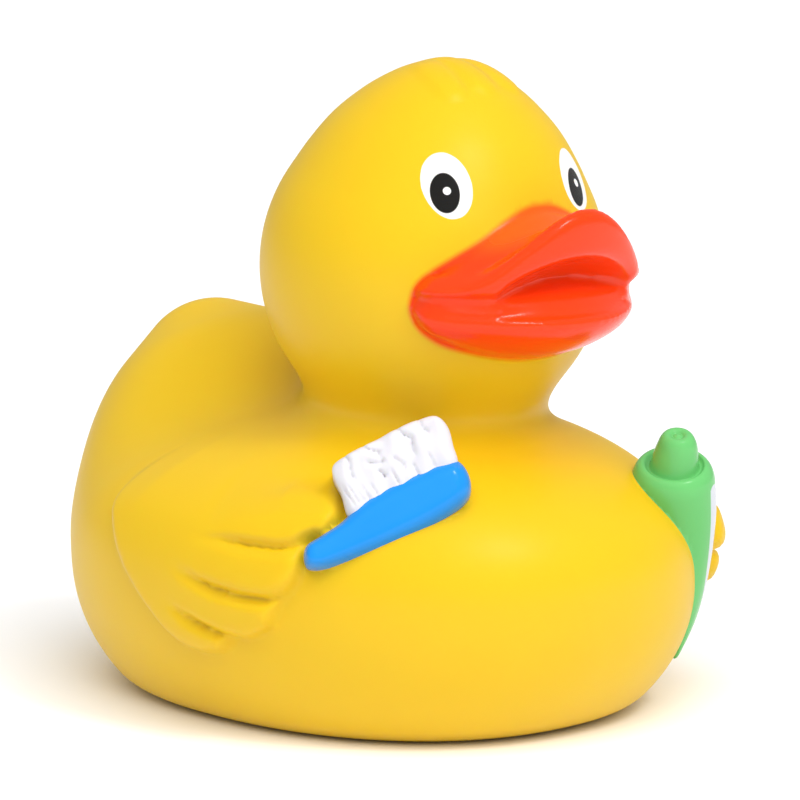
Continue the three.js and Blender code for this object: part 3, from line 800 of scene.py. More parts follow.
    def root_depth(self, form: DuckForm, points: np.ndarray) -> np.ndarray:
        """How far inside the beak's outline on the face each point is, in millimetres, negative beside it."""
        angle, _ = self.polar(form, points)
        arc = angle * self.paint_reach
        right = [(math.radians(a) * self.paint_reach, z) for a, z in self.paint_edge]
        left = [(-x, z) for x, z in reversed(right) if x]
        depth = depth_in_outline(np.stack([arc, points[:, 2]], axis=1), smooth_outline(right + left))
        low, high = self.search_heights
        near = (np.abs(arc) < self.outer_arc) & (points[:, 1] < self.search_front)
        near &= (points[:, 2] > low) & (points[:, 2] < high)
        return np.where(near, depth, self.off_beak)

    def paint_depth(self, form: DuckForm, points: np.ndarray) -> np.ndarray:
        """How far inside the sprayed orange's edge each point is, in millimetres, negative off the beak."""
        depth = self.root_depth(form, points)
        return np.where(depth > self.skirt, np.maximum(depth, form.outside(points) - self.spray_lap), depth)

    def thin_paint(self, form: DuckForm, points: np.ndarray) -> np.ndarray:
        """Where the spray is thin: 1 on the bridge next to the head, 0 from the curled rim on."""
        angle, reach = self.polar(form, points)
        high = ease(*self.thin_heights, points[:, 2])
        return high * (1 - ease(*self.thin_reaches, reach)) * (1 - ease(*self.thin_angles, np.abs(angle)))


@dataclass(frozen=True)
class Pad:
    """A pad of an outline, whose front edge rounds in towards a spine, in the brush's own frame.

    The outline and the spine's two ends are flat places. The front is how far out it reaches, the rounding is
    how deep it goes back, and the inset is what share of the way to the spine it goes in.
    """

    name: str
    finish: Finish
    front: float
    rounding: float
    inset: float
    cell: float
    smoothing: int
    spine: tuple
    outline: tuple


HANDLE = Pad(
    name="handle",
    finish=Finish.HANDLE,
    front=4.8,
    rounding=2.7,
    inset=0.6,
    cell=0.32,
    smoothing=3,
    spine=((-11.8, -3), (4.8, -2.6)),
    outline=(
        (-12.6, -1.5), (-13.5, -3.6), (-12.4, -4.5), (-8.6, -5.3), (-2, -5.9), (3.3, -5.8), (7.1, -4.7),
        (8.2, -2.5), (7.8, -0.3), (5.5, 0.4), (2.3, 0.6), (-1.3, 0.7), (-4.6, 0.3), (-7.5, -0.7),
        (-10.4, -1.1),
    ),
)
BRISTLES = Pad(
    name="bristles",
    finish=Finish.BRISTLES,
    front=4.0,
    rounding=1.1,
    inset=0.3,
    cell=0.22,
    smoothing=4,
    spine=((-2, 3), (4.5, 3)),
    outline=(
        (-6.3, -1), (-6.1, 2.2), (-6, 4.5), (-5.5, 5.6), (-3.7, 6.0), (0.2, 6.1), (5.3, 6.1),
        (7.8, 5.5), (8.5, 3.9), (8.1, 1.5), (7.3, -1),
    ),
)


@dataclass(frozen=True)
class Toothbrush:
    """The toothbrush's head, half sunk in the breast: a painted handle under a block of moulded bristles.

    Its own frame is across to the viewer's right, up, and out of the breast. A cleft is a line over the
    bristles. A strand is the foot and the top of a fine line.
    """

    azimuth: float = -37
    height: float = 30.5
    facing: float = -42
    lean_back: float = 18
    tilt: float = 26.5
    back: float = -7
    round_steps: int = 14
    front_steps: int = 3
    front_closed: float = 0.99
    clefts: tuple = (
        ((-3.9, 6.8), (-3.6, 5.2), (-4.1, 3.6), (-3.7, 2.2)),
        ((-1.4, 6.8), (-1.2, 5.6), (-0.1, 4.6), (-0.5, 3.4)),
        ((-1.6, 3.9), (-0.4, 3.3), (0.3, 3.7)),
        ((3.0, 6.8), (3.3, 5.3), (4.1, 4.3), (3.6, 3.0), (3.7, 1.9)),
        ((6.0, 6.6), (5.7, 5.0), (6.3, 3.8)),
        ((-0.9, 2.6), (-0.6, 1.4)),
        ((1.3, 3.0), (1.9, 2.0), (1.6, 0.9)),
    )
    cleft_depth: float = 0.8
    cleft_width: float = 0.85
    strands: tuple = (
        (-5.3, 3.4), (-4.7, 3.1), (-4.1, 2.6), (-3.4, 2.9), (-2.4, 2.0), (0.4, 2.4), (2.9, 1.9),
        (5.0, 2.3),
    )
    strand_depth: float = 0.4
    strand_width: float = 0.4
    groomed: tuple[float, float] = (1.5, 3.5)

    def frame(self, form: DuckForm) -> Matrix:
        """The brush's frame in the row frame, in millimetres."""
        out = Vector(way_at(self.facing, self.lean_back))
        across = Vector((0, 0, 1)).cross(out).normalized()
        basis = Matrix((across, out.cross(across), out)).transposed().to_4x4()
        place = Matrix.Translation(Vector(form.skin_place(self.azimuth, self.height)))
        return place @ basis @ Matrix.Rotation(math.radians(self.tilt), 4, "Z")

    def build(self, form: DuckForm, pad: Pad) -> Piece:
        """Builds one of the brush's pads.

        Args:
            form: The plain form that it stands on.
            pad: Its measures.

        Returns:
            The mesh object.
        """
        edge = smooth_outline(pad.outline, 10)
        start, end = (np.array(place, float) for place in pad.spine)
        way = end - start
        share = np.clip((edge - start) @ way / (way @ way), 0, 1)
        middle = start + share[:, None] * way
        rings = [(0.0, self.back), (0.0, (self.back + pad.front - pad.rounding) / 2)]
        for step in range(self.round_steps + 1):
            turn = math.pi / 2 * step / self.round_steps
            rings.append((pad.inset * (1 - math.cos(turn)), pad.front - pad.rounding * (1 - math.sin(turn))))
        for step in range(1, self.front_steps + 1):
            rings.append((mix(pad.inset, self.front_closed, step / self.front_steps), pad.front))
        own = self.frame(form)
        basis, origin = np.array(own.to_3x3()), np.array(own.translation)
        sections = []
        for moved, out in rings:
            flat = edge + moved * (middle - edge)
            sections.append(np.column_stack([flat, np.full(len(flat), out)]) @ basis.T + origin)
        piece = lofted(pad.name, sections, pad.finish)
        remesh(piece, pad.cell)
        smooth(piece, pad.smoothing)
        paint_all(piece, pad.finish)
        return piece

    def make(self, form: DuckForm) -> list[Piece]:
        """Builds the handle and the bristles."""
        handle, bristles = self.build(form, HANDLE), self.build(form, BRISTLES)
        self.groom(form, bristles)
        return [handle, bristles]

    def groom(self, form: DuckForm, bristles: Piece) -> None:
        """Models the bristles as moulded ones are: uneven tufts with clefts between them and fine strands."""
        points = points_of(bristles)
        inverse = np.array(self.frame(form).inverted())
        own = points @ inverse[:3, :3].T + inverse[:3, 3]
        flat = own[:, :2]
        # The tufts bulge unevenly over some 3 mm.
        relief = 0.22 * np.sin(1.15 * flat[:, 0] + 0.9) * np.sin(0.75 * flat[:, 1] + 0.3)
        relief += 0.14 * np.sin(2.1 * flat[:, 0] - 0.5 * flat[:, 1])
        for cleft in self.clefts:
            distance, along = line_distance(flat, np.array(cleft))
            share = (1 - rounded(distance / self.cleft_width)) * (1 - ease(0.7, 1.0, along))
            relief -= self.cleft_depth * share
        for foot, top in self.strands:
            line = np.array([(foot, 0.2), (foot * 1.04 - 0.15, top)])
            distance, along = line_distance(flat, line)
            share = (1 - rounded(distance / self.strand_width)) * (1 - ease(0.6, 1.0, along))
            relief -= self.strand_depth * share
        relief *= ease(*self.groomed, own[:, 2])
        out = np.array(self.frame(form).to_3x3())[:, 2]
        move_points(bristles, points + relief[:, None] * out)


@dataclass(frozen=True)
class ToothpasteTube:
    """The toothpaste tube, which stands on its crimp under the left wing and leans forward.

    Its rows are (height, out of the breast, half thickness, half width) of oval sections in millimetres.
    """

    azimuth: float = 34
    facing: float = 48
    lean: float = 0.45
    rows: tuple = (
        (8.9, -2.8, 0.9, 6.6), (10.2, -2.3, 1.3, 6.7), (12.5, -1.8, 2, 6.5), (15.5, -1.8, 2.9, 6.2),
        (19.5, -2.2, 3.9, 5.7), (25, -2.9, 4.9, 5.3), (28.4, -3.35, 5.1, 5.15), (29.5, -3.4, 5.0, 5.0),
        (30.4, -3.4, 4.65, 4.65), (30.95, -3.4, 4.15, 4.15), (31.05, -3.35, 3.7, 3.7),
        (30.75, -3.3, 3.35, 3.35), (30.7, -3.3, 3.1, 3.1), (31.1, -3.3, 2.9, 2.9),
        (32.4, -3.2, 2.7, 2.7), (33.6, -3.1, 2.4, 2.4), (34.4, -3.1, 2.05, 2.05),
        (34.85, -3.1, 1.65, 1.65), (34.95, -3.1, 1.25, 1.25), (34.85, -3.1, 0.9, 0.9),
        (34.65, -3.1, 0.62, 0.62), (34.75, -3.1, 0.4, 0.4), (34.85, -3.1, 0.15, 0.15),
    )
    around: int = 72
    between: int = 4
    body_rows: int = 10
    label_edge: tuple = ((8, -4.2), (15.5, -3.6), (20, -3.2), (25, -2.9), (28, -2.6), (29.3, -1.2))
    label_top: float = 28.6
    label_far: float = 3.5
    label_foot: float = 10.6

    def axes(self, form: DuckForm) -> tuple[np.ndarray, np.ndarray, np.ndarray, np.ndarray]:
        """The foot of the tube, and its ways out of the breast, across it and along its width."""
        turn = math.radians(self.facing)
        out = np.array([math.sin(turn), -math.cos(turn), 0])
        across = np.array([-out[1], out[0], 0])
        axis = np.array([0, 0, 1]) - self.lean * across
        wide = np.cross(axis / np.linalg.norm(axis), out)
        return form.skin_place(self.azimuth, form.torso_waist), out, across, wide

    def centres(self, form: DuckForm, heights: np.ndarray, sunk: np.ndarray) -> np.ndarray:
        """The middles of the sections at these heights."""
        foot, out, across, _ = self.axes(form)
        centres = foot + sunk[:, None] * out - (self.lean * (heights - form.torso_waist))[:, None] * across
        centres[:, 2] = heights
        return centres

    def make(self, form: DuckForm) -> Piece:
        """Builds the tube, with its recessed shoulder and its cap."""
        _, out, _, wide = self.axes(form)
        corners = np.array(self.rows)
        closed = smooth_outline(np.vstack([corners, corners[-1:] + (0.001, 0, 0, 0)]), self.between)
        rows = closed[: self.between * (len(corners) - 1) + 1]
        turns = 2 * np.pi * np.arange(self.around) / self.around
        sections = []
        for centre, (_, _, thick, half) in zip(self.centres(form, rows[:, 0], rows[:, 1]), rows):
            ring = np.outer(np.cos(turns) * half, wide) + np.outer(np.sin(turns) * thick, out)
            sections.append(centre + ring)
        return lofted("tube", sections, Finish.TUBE)

    def label_depth(self, form: DuckForm, points: np.ndarray) -> np.ndarray:
        """How far inside the white label's edge each point is, in millimetres."""
        rows = np.array(self.rows)[: self.body_rows]
        height = points[:, 2]
        _, out, _, wide = self.axes(form)
        offset = points - self.centres(form, height, np.interp(height, rows[:, 0], rows[:, 1]))
        across, outward = offset @ wide, offset @ out
        start = at_table(height, self.label_edge)
        sideways = np.minimum(across - start, self.label_far - across)
        upright = np.minimum(self.label_top - height, height - self.label_foot)
        return np.minimum(np.minimum(sideways, upright), outward)


@dataclass
class Moulding:
    """The one-piece vinyl skin, fine and soft over the air space, hole and recess of the CAD's moulding."""

    form: DuckForm = field(default_factory=DuckForm)
    wings: tuple = (Wing(Side.RIGHT), Wing(Side.LEFT, reach=13, droop=6.5, tip_lift=1.9, top_rise=2.2))
    crest: Crest = Crest()
    beak: Beak = Beak()
    brush: Toothbrush = Toothbrush()
    tube: ToothpasteTube = ToothpasteTube()
    coarse_cell: float = 0.8
    cell: float = 0.42
    faces: int = 138000
    off_form: float = 0.3
    cut_margin: float = 2
    recess_radius: float = 8.6
    pad_height: float = 4.4
    half_wall: float = 1.2
    slack: float = 0.05
    weld_m: float = 2e-7
    near_relief: float = 2
    least_relief: float = 0.01
    detail_weight: float = 0.85
    crease_degrees: float = 50

    def lining(self) -> Piece:
        """The CAD moulding's air space, hole and recess as one closed solid, to cut them out of the skin."""
        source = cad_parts["duck_body"]
        piece = bpy.data.objects.new("duck_lining", source.data.copy())
        bpy.context.collection.objects.link(piece)
        alone(piece)
        bpy.ops.object.mode_set(mode="EDIT")
        bpy.ops.mesh.select_all(action="SELECT")
        bpy.ops.mesh.remove_doubles(threshold=self.weld_m)
        bpy.ops.mesh.select_all(action="DESELECT")
        bpy.ops.object.mode_set(mode="OBJECT")
        mesh = piece.data
        flat = np.empty(3 * len(mesh.polygons), np.float32)
        mesh.polygons.foreach_get("center", flat)
        centres = flat.reshape(-1, 3).astype(float) / MM
        off_axis = np.hypot(*self.form.from_middle(centres)[:, :2].T)
        in_hole = off_axis < self.recess_radius + self.slack
        in_hole &= centres[:, 2] < self.pad_height + self.cut_margin
        inner = (self.form.standing(centres) < -self.half_wall) | (in_hole & (centres[:, 2] > self.slack))
        mesh.polygons.foreach_set("select", ~inner)
        bpy.ops.object.mode_set(mode="EDIT")
        bpy.ops.mesh.select_mode(type="FACE")
        bpy.ops.mesh.delete(type="FACE")
        bpy.ops.mesh.select_mode(type="EDGE")
        bpy.ops.mesh.select_non_manifold(extend=False)
        bpy.ops.mesh.extrude_region_move(TRANSFORM_OT_translate={"value": (0, 0, -MM)})
        bpy.ops.mesh.edge_face_add()
        bpy.ops.object.mode_set(mode="OBJECT")
        face_outwards(piece)
        paint_all(piece, Finish.VINYL)
        return piece

    def relief(self, points: np.ndarray) -> np.ndarray:
        """How far the wings and the crest stand out of the plain form at each point."""
        lifts = [part.height(self.form, points) for part in (*self.wings, self.crest)]
        return np.max(lifts, axis=0)

    def settle(self, piece: Piece, near: float, beside: tuple[float, float]) -> None:
        """Draws the skin onto its plain form.

        Args:
            piece: The skin.
            near: How far off the form a point may be and still be drawn, in millimetres.
            beside: How far inside the beak's outline points start to be left, and from where on they all are.
        """
        points = points_of(piece)
        drawn = 1 - ease(*beside, self.beak.root_depth(self.form, points))
        for _ in range(3):
            gap = np.abs(self.form.standing(points))
            points = self.form.drawn_closer(points, drawn * (1 - ease(0.5 * near, near, gap)))
        move_points(piece, points)

    def on_beak(self, points: np.ndarray) -> np.ndarray:
        """Where the points are on the beak."""
        beside = self.beak.root_depth(self.form, points) > self.beak.skirt
        return beside & (self.form.standing(points) > self.off_form)

    def soften(self, piece: Piece) -> None:
        """Takes the cells' steps out of the skin, and rounds the fold between the beak and the face."""
        points = points_of(piece)
        turn = np.abs(np.degrees(self.beak.polar(self.form, points)[0]))
        crisp = self.on_beak(points) * (1 - ease(25, 45, turn))
        smooth(piece, 8, weigh(piece, "soft", 1 - 0.5 * crisp))
        self.settle(piece, 0.5, (8, 9))
        points = points_of(piece)
        off_mouth = ease(2.5, 4.0, np.abs(points[:, 2] - self.beak.mouth_height))
        off_mouth = np.maximum(off_mouth, ease(54, 60, turn))
        low = 1 - ease(1.2, 2.4, self.form.standing(points))
        beside = ease(-4, -1, self.beak.root_depth(self.form, points))
        smooth(piece, 20, weigh(piece, "fold", low * off_mouth * beside))
        smooth(piece, 8, weigh(piece, "sides", self.on_beak(points) * ease(28, 48, turn)))

    def detailed(self, points: np.ndarray) -> np.ndarray:
        """Where the points are on the relief or next to it."""
        found = np.zeros(len(points), bool)
        for shift in ((0, 0, 0), (0, 1, 0), (0, -1, 0), (0, 0, 1), (0, 0, -1)):
            found |= self.relief(points + self.near_relief * np.array(shift)) > self.least_relief
        return found

    def emboss(self, piece: Piece) -> None:
        """Raises the wings and the crest out of the plain skin."""
        points = points_of(piece)
        way = self.form.way_out(points)
        way /= np.linalg.norm(way, axis=1, keepdims=True)
        lifts = np.zeros(len(points))
        for _ in range(3):
            lifts = self.relief(points + way * lifts[:, None])
        move_points(piece, points + way * lifts[:, None])
        smooth(piece, 2, weigh(piece, "raised", self.detailed(points)))

    def make(self) -> Piece:
        """Builds the skin.

        Returns:
            The finished mesh object, with its paint fields.
        """
        piece = joined([self.form.make(self.coarse_cell), self.beak.make(self.form)])
        piece.name = "duck_skin"
        remesh(piece, self.cell)
        self.soften(piece)
        self.thin_out(piece)
        self.settle(piece, 0.2, (-5, -2))
        self.emboss(piece)
        paint_all(piece, Finish.VINYL)
        for tool in [*self.brush.make(self.form), self.tube.make(self.form)]:
            self.combine(piece, tool, "UNION")
        self.combine(piece, self.lining(), "DIFFERENCE")
        piece.vertex_groups.clear()
        self.keep_paint_fields(piece)
        alone(piece)
        bpy.ops.object.shade_smooth_by_angle(angle=math.radians(self.crease_degrees))
        return piece

    def thin_out(self, piece: Piece) -> None:
        """Lets the plain skin keep fewer faces than its details."""
        count = sum(len(face.vertices) - 2 for face in piece.data.polygons)
        if count <= self.faces:
            return
        points = points_of(piece)
        busy = self.on_beak(points) | self.detailed(points)
        plain = weigh(piece, "plain", 1 - self.detail_weight * busy)
        settings = {"vertex_group": plain, "vertex_group_factor": 1.0, "use_collapse_triangulate": True}
        finish_with(piece, "DECIMATE", ratio=self.faces / count, **settings)

    def combine(self, piece: Piece, tool: Piece, operation: str) -> None:
        """Unites a piece with a tool or cuts the tool out of it, and removes the tool."""
        finish_with(piece, "BOOLEAN", operation=operation, solver="MANIFOLD", object=tool)
        bpy.data.objects.remove(tool)

    def keep_paint_fields(self, piece: Piece) -> None:
        """Stores how far inside each soft-edged paint the skin is."""
        points = points_of(piece)
        keep_field(piece, "beak_depth", self.beak.paint_depth(self.form, points))
        keep_field(piece, "thin_paint", self.beak.thin_paint(self.form, points))
        keep_field(piece, "label_depth", self.tube.label_depth(self.form, points))


@dataclass(frozen=True)
class Paint:
    """One paint on the moulding: its colour and roughness, and a colour that it drifts to in places."""

    colour: str
    roughness: float
    drift: str = ""

    def finish(self) -> tuple[Value, Value]:
        """Its colour and roughness for a shader."""
        return linear(self.colour), self.roughness


@dataclass(frozen=True)
class Oval:
    """One printed oval of an eye, in millimetres. It leans clockwise, seen from outside, in degrees."""

    centre: tuple[float, float, float]
    half: tuple[float, float]
    lean: float
    wobble: float


@dataclass(frozen=True)
class Eye:
    """An eye: the way it faces, a white oval, a black one on it, and a small white dot. The two are printed
    one by one and aren't quite mirror images."""

    out: tuple[float, float, float]
    white: Oval
    pupil: Oval
    dot: Oval


RIGHT_EYE = Eye(
    out=(-0.479, -0.704, 0.525),
    white=Oval((-10.93, -25.87, 65.58), (2.94, 4.18), -15.1, 0.04),
    pupil=Oval((-11.43, -26.1, 64.75), (1.77, 2.48), -5.8, 0.02),
    dot=Oval((-11.19, -26.2, 64.98), (0.47, 0.47), 0, 0.1),
)
LEFT_EYE = Eye(
    out=(0.357, -0.789, 0.5),
    white=Oval((7.9, -27.5, 65.2), (3.05, 4.1), 25, 0.04),
    pupil=Oval((7.78, -28.12, 64.35), (1.72, 2.54), 28.7, 0.02),
    dot=Oval((8.21, -27.77, 64.79), (0.5, 0.5), 0, 0.1),
)


@dataclass(frozen=True)
class PaintedVinyl:
    """Soft PVC, rotocast and painted. Cast vinyl is satin and a little translucent, so shade stays warm in
    its folds. Sprayed orange has a soft edge, and brushed and printed paints are glossier and crisp."""

    vinyl: Paint = Paint("dfb612", 0.42, "e2ba18")
    beak: Paint = Paint("ee3e0a", 0.2)
    thin_beak: Paint = Paint("ea5c08", 0.3)
    handle: Paint = Paint("1586da", 0.18, "1d8ee0")
    bristles: Paint = Paint("dedde1", 0.3, "d2d0d8")
    tube: Paint = Paint("62b766", 0.2, "6cc070")
    label: Paint = Paint("cdd1d9", 0.25)
    eye_white: Paint = Paint("eeeeec", 0.3)
    pupil: Paint = Paint("161513", 0.2)
    eyes: tuple[Eye, Eye] = (RIGHT_EYE, LEFT_EYE)
    specular: float = 0.3
    print_depth_mm: float = 9
    print_edge_mm: float = 0.12
    spray_edge_mm: float = 1.0
    brush_edge_mm: float = 0.2

    def stored(self, tree: Tree, name: str) -> Socket:
        """The value that a piece's mesh holds under a name."""
        return add_node(tree, "ShaderNodeAttribute", {"attribute_name": name}).outputs["Fac"]

    def edge(self, tree: Tree, depth: Socket, soft_mm: float) -> Socket:
        """Turns a depth in millimetres into a mask with an edge of that width."""
        inputs = {"Value": depth, "From Min": -soft_mm / 2, "From Max": soft_mm / 2}
        ramp = add_node(tree, "ShaderNodeMapRange", {"interpolation_type": "SMOOTHSTEP"}, inputs)
        return ramp.outputs["Result"]

    def printed(self, tree: Tree, eye: Eye, oval: Oval) -> Socket:
        """The mask of one printed oval of an eye.

        Args:
            tree: The material's node tree.
            eye: The eye that it is part of.
            oval: The oval.

        Returns:
            0 outside the oval and 1 inside.
        """
        out = Vector(eye.out).normalized()
        across = Vector((0, 0, 1)).cross(out).normalized()
        turn = Matrix.Rotation(math.radians(-oval.lean), 3, out)
        across, up = turn @ across, turn @ out.cross(across)
        place = {
            "Vector": own_place(tree),
            "Location": Vector(oval.centre) * MM,
            "Rotation": Matrix((across, up, out)).transposed().to_euler("XYZ"),
            "Scale": (oval.half[0] * MM, oval.half[1] * MM, self.print_depth_mm * MM),
        }
        own = add_node(tree, "ShaderNodeMapping", {"vector_type": "TEXTURE"}, place).outputs["Vector"]
        length = add_node(tree, "ShaderNodeVectorMath", {"operation": "LENGTH"}, {0: own}).outputs["Value"]
        # A printed edge wavers over some 1.5 mm.
        waver = {0: noise(tree, 650.0, 1.0), 1: oval.wobble, 2: length}
        unsteady = add_node(tree, "ShaderNodeMath", {"operation": "MULTIPLY_ADD"}, waver).outputs[0]
        size = min(oval.half)
        inwards = {0: unsteady, 1: -size, 2: size * (1 + oval.wobble / 2)}
        depth = add_node(tree, "ShaderNodeMath", {"operation": "MULTIPLY_ADD"}, inwards).outputs[0]
        return self.edge(tree, depth, self.print_edge_mm)

    def lay(
        self, tree: Tree, under: tuple[Value, Value], share: Socket, over: tuple[Value, Value]
    ) -> tuple[Value, Value]:
        """Lays one finish over another.

        Args:
            tree: The material's node tree.
            under: The colour and the roughness of what is under.
            share: The mask of what is over.
            over: Its colour and roughness.

        Returns:
            The colour and the roughness of both together.
        """
        return mixed_colour(tree, share, under[0], over[0]), mixed_number(tree, share, under[1], over[1])

    def shaded(self, tree: Tree, laid: tuple[Value, Value], translucent: float, grain_mm: float) -> None:
        """Ends a material with a plastic shader.

        Args:
            tree: The material's node tree.
            laid: The colour and the roughness.
            translucent: How much light goes into it.
            grain_mm: How deep its grain is.
        """
        # A satin mould leaves a grain of about 0.15 mm, drawn at 0.4 mm so that it shows.
        grain = noise(tree, 2500.0, 1.0)
        plastic = {
            "Base Color": laid[0],
            "Roughness": laid[1],
            "IOR": 1.5,
            "Specular IOR Level": self.specular,
            "Subsurface Weight": translucent,
            "Subsurface Radius": (1.0, 0.45, 0.1),
            "Subsurface Scale": 0.002,
            "Normal": grained(tree, grain, 0.5, grain_mm),
        }
        end_with(tree, plastic)

    def clouded(self, tree: Tree, paint: Paint, scale: float) -> tuple[Value, Value]:
        """A paint whose colour drifts to its other one and back.

        Args:
            tree: The material's node tree.
            paint: The paint.
            scale: How many drifts there are in a metre.

        Returns:
            The colour and the roughness.
        """
        share = noise(tree, scale, 2.0)
        return mixed_colour(tree, share, linear(paint.colour), linear(paint.drift)), paint.roughness

    def vinyl_material(self) -> Material:
        """Cast yellow vinyl with the beak sprayed and the eyes printed on it."""
        made, tree = new_material("rotocast_pvc_sprayed_and_printed")
        # Pigment in cast vinyl is uneven by a few percent over some 12 mm.
        laid = self.clouded(tree, self.vinyl, 80.0)
        thin = self.stored(tree, "thin_paint")
        beak = self.lay(tree, self.beak.finish(), thin, self.thin_beak.finish())
        sprayed = self.edge(tree, self.stored(tree, "beak_depth"), self.spray_edge_mm)
        laid = self.lay(tree, laid, sprayed, beak)
        for eye in self.eyes:
            prints = ((eye.white, self.eye_white), (eye.pupil, self.pupil), (eye.dot, self.eye_white))
            for oval, paint in prints:
                laid = self.lay(tree, laid, self.printed(tree, eye, oval), paint.finish())
        self.shaded(tree, laid, 0.2, 0.012)
        return made

    def handle_material(self) -> Material:
        """Blue enamel, brushed on thick, over vinyl."""
        made, tree = new_material("brushed_blue_enamel")
        self.shaded(tree, self.clouded(tree, self.handle, 120.0), 0.0, 0.008)
        return made

    def bristle_material(self) -> Material:
        """White enamel, brushed on over vinyl, whose white drifts to a greyer one in places."""
        made, tree = new_material("brushed_white_enamel")
        self.shaded(tree, self.clouded(tree, self.bristles, 200.0), 0.1, 0.008)
        return made

    def tube_material(self) -> Material:
        """Green enamel with a white label field, both brushed on over vinyl."""
        made, tree = new_material("brushed_green_and_white_enamel")
        laid = self.clouded(tree, self.tube, 120.0)
        share = self.edge(tree, self.stored(tree, "label_depth"), self.brush_edge_mm)
        self.shaded(tree, self.lay(tree, laid, share, self.label.finish()), 0.0, 0.008)
        return made

    def dress(self, skin: Piece) -> None:
        """Fills the skin's material slots."""
        made = {
            Finish.VINYL: self.vinyl_material(),
            Finish.HANDLE: self.handle_material(),
            Finish.BRISTLES: self.bristle_material(),
            Finish.TUBE: self.tube_material(),
        }
        for finish in Finish:
            skin.data.materials[finish.value] = made[finish]
            log.info("duck_skin: %s", made[finish].name)


@dataclass(frozen=True)
class MouldedPolyethylene:
    """Natural polyethylene, injection moulded: waxy, milky and matte, with the die's faint grain."""

    name: str = "injection_moulded_polyethylene"
    colour: str = "e4e0d3"
    drift: str = "d8d2c1"
    roughness: float = 0.45

    def material(self) -> Material:
        """Builds the material."""
        made, tree = new_material(self.name)
        # Its milkiness is uneven over some 3 mm.
        cloud = noise(tree, 300.0, 3.0)
        plastic = {
            "Base Color": mixed_colour(tree, cloud, linear(self.colour), linear(self.drift)),
            "Roughness": self.roughness,
            "IOR": 1.51,
            "Subsurface Weight": 0.3,
            "Subsurface Radius": (1.0, 0.9, 0.7),
            "Subsurface Scale": 0.001,
            "Normal": grained(tree, cloud, 0.2, 0.05),
        }
        end_with(tree, plastic)
        return made


@dataclass(frozen=True)
class RolledBrass:
    """Brass shim, cold rolled: fine lines along the strip stretch its highlights."""

    colour: str = "c79a45"
    roughness: tuple[float, float] = (0.22, 0.42)

    def material(self) -> Material:
        """Builds the material."""
        made, tree = new_material("rolled_brass_shim")
        # Rolling lines lie about 0.1 mm apart.
        stretch = {"Vector": own_place(tree), "Scale": (10000, 300, 300)}
        along = add_node(tree, "ShaderNodeMapping", None, stretch).outputs["Vector"]
        lines = add_node(tree, "ShaderNodeTexNoise", None, {"Vector": along, "Scale": 1.0}).outputs["Fac"]
        limits = {"Value": lines, "To Min": self.roughness[0], "To Max": self.roughness[1]}
        rough = add_node(tree, "ShaderNodeMapRange", None, limits).outputs["Result"]
        end_with(tree, {"Base Color": linear(self.colour), "Metallic": 1.0, "Roughness": rough})
        return made


@dataclass
class Squeaker:
    """The plug, reed holder and reed. Their CAD solids have their true shape and stay, with real finishes."""

    plug: MouldedPolyethylene = MouldedPolyethylene()
    holder: MouldedPolyethylene = MouldedPolyethylene("injection_moulded_holder", "d9d7cc", roughness=0.35)
    reed: RolledBrass = RolledBrass()

    def dress(self) -> None:
        """Gives each CAD node its finish."""
        finishes = {
            "squeaker_plug": self.plug.material(),
            "squeaker_reed_holder": self.holder.material(),
            "squeaker_reed": self.reed.material(),
        }
        for name, finish in finishes.items():
            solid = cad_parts[name]
            solid.data.materials.clear()
            solid.data.materials.append(finish)
            log.info("%s: %s", name, finish.name)


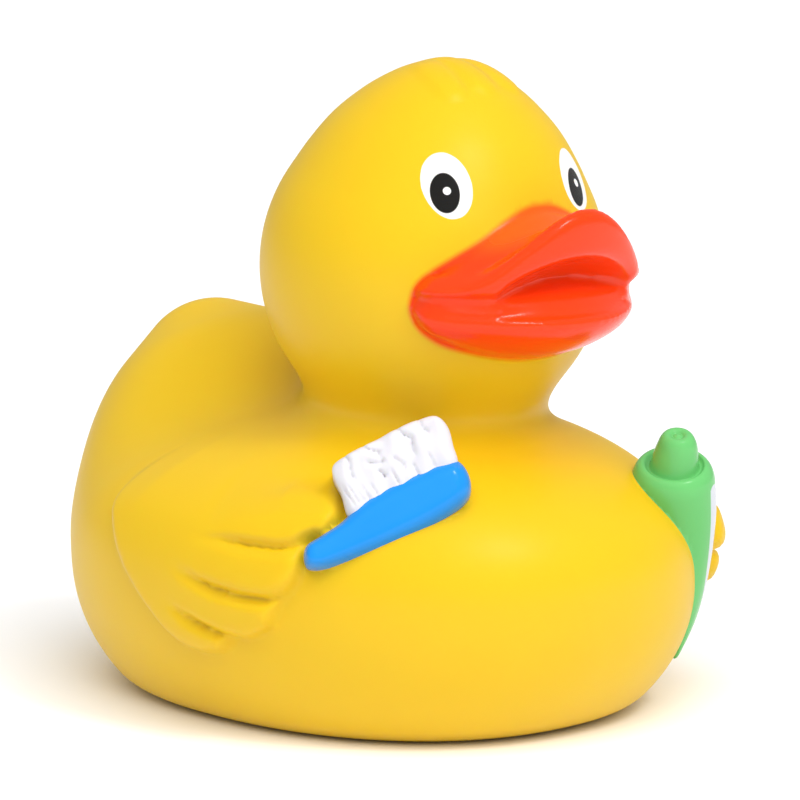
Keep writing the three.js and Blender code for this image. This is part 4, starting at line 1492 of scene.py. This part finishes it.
@dataclass
class Studio:
    """A white sweep, soft boxes and the camera."""

    target_mm: tuple[float, float, float] = (0.81, -4.70, 36.71)
    azimuth: float = -42
    elevation: float = 8.63
    distance_mm: float = 500
    lens: float = 181.8
    floor_size: float = 6.0
    world_strength: float = 0.46

    def hang(self, what: Piece, way: tuple[float, float], distance: float) -> None:
        """Puts a camera or a lamp that far from the duck, in metres, and turns it to the duck.

        Args:
            what: The object.
            way: Its azimuth from the duck's front and its elevation, in degrees.
            distance: How far away it is, in metres.
        """
        bpy.context.collection.objects.link(what)
        out = Vector(way_at(*way))
        what.location = Vector(self.target_mm) * MM + out * distance
        what.rotation_euler = (-out).to_track_quat("-Z", "Y").to_euler()

    def place_camera(self) -> None:
        """Puts the camera where the photograph was taken from."""
        data = bpy.data.cameras.new("camera")
        data.lens = self.lens
        data.sensor_width = 36
        data.clip_start, data.clip_end = 0.01, 50
        camera = bpy.data.objects.new("camera", data)
        self.hang(camera, (self.azimuth, self.elevation), self.distance_mm * MM)
        bpy.context.scene.camera = camera

    def lay_floor(self) -> None:
        """Lays a white paper sweep under and behind the duck."""
        bpy.ops.object.select_all(action="DESELECT")
        bpy.ops.mesh.primitive_plane_add(size=self.floor_size, location=(0, 0, 0))
        floor = bpy.context.active_object
        floor.name = "floor"
        made, tree = new_material("white_paper")
        tint = mixed_colour(tree, noise(tree, 3.0, 2.0), linear("fefefe"), linear("ffffff"))
        end_with(tree, {"Base Color": tint, "Roughness": 0.9, "Specular IOR Level": 0.1})
        floor.data.materials.append(made)

    def add_softbox(self, way: tuple[float, float], distance: float, size: float, watts: float) -> None:
        """Hangs a square soft box that faces the duck.

        Args:
            way: Its azimuth from the duck's front and its elevation, in degrees.
            distance: How far away it is, in metres.
            size: Its side, in metres.
            watts: Its power.
        """
        data = bpy.data.lights.new("key", "AREA")
        data.shape = "SQUARE"
        data.size = size
        data.energy = watts
        self.hang(bpy.data.objects.new("key", data), way, distance)

    def add_sky(self, way: tuple[float, float], angle: float, strength: float) -> None:
        """Adds a broad even light from far away, which lights all of the sweep alike.

        Args:
            way: Its azimuth from the duck's front and its elevation, in degrees.
            angle: How wide it is, in degrees.
            strength: Its strength.
        """
        data = bpy.data.lights.new("sky", "SUN")
        data.angle = math.radians(angle)
        data.energy = strength
        light = bpy.data.objects.new("sky", data)
        light.visible_glossy = False
        self.hang(light, way, 1.0)

    def light(self) -> None:
        """Lights the sweep evenly, and the duck from above the camera."""
        world = bpy.data.worlds.new("white_room")
        world.use_nodes = True
        background = world.node_tree.nodes["Background"]
        background.inputs["Color"].default_value = (1, 1, 1, 1)
        background.inputs["Strength"].default_value = self.world_strength
        bpy.context.scene.world = world
        bpy.context.scene.view_settings.view_transform = "Standard"
        self.add_sky((-30, 54), angle=66, strength=2.6)
        self.add_softbox((2, 50), distance=0.9, size=0.16, watts=1.6)

    def build(self) -> None:
        """Builds the studio."""
        self.place_camera()
        self.lay_floor()
        self.light()


def main() -> None:
    """Builds the duck and the studio, and logs how many faces the skin has."""
    logging.basicConfig(level=logging.INFO, format="%(name)s: %(message)s")
    skin = Moulding().make()
    PaintedVinyl().dress(skin)
    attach(skin, "root")
    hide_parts("duck_body")
    log.info("duck_skin: %d faces", len(skin.data.polygons))
    Squeaker().dress()
    Studio().build()


if __name__ == "__main__":
    main()
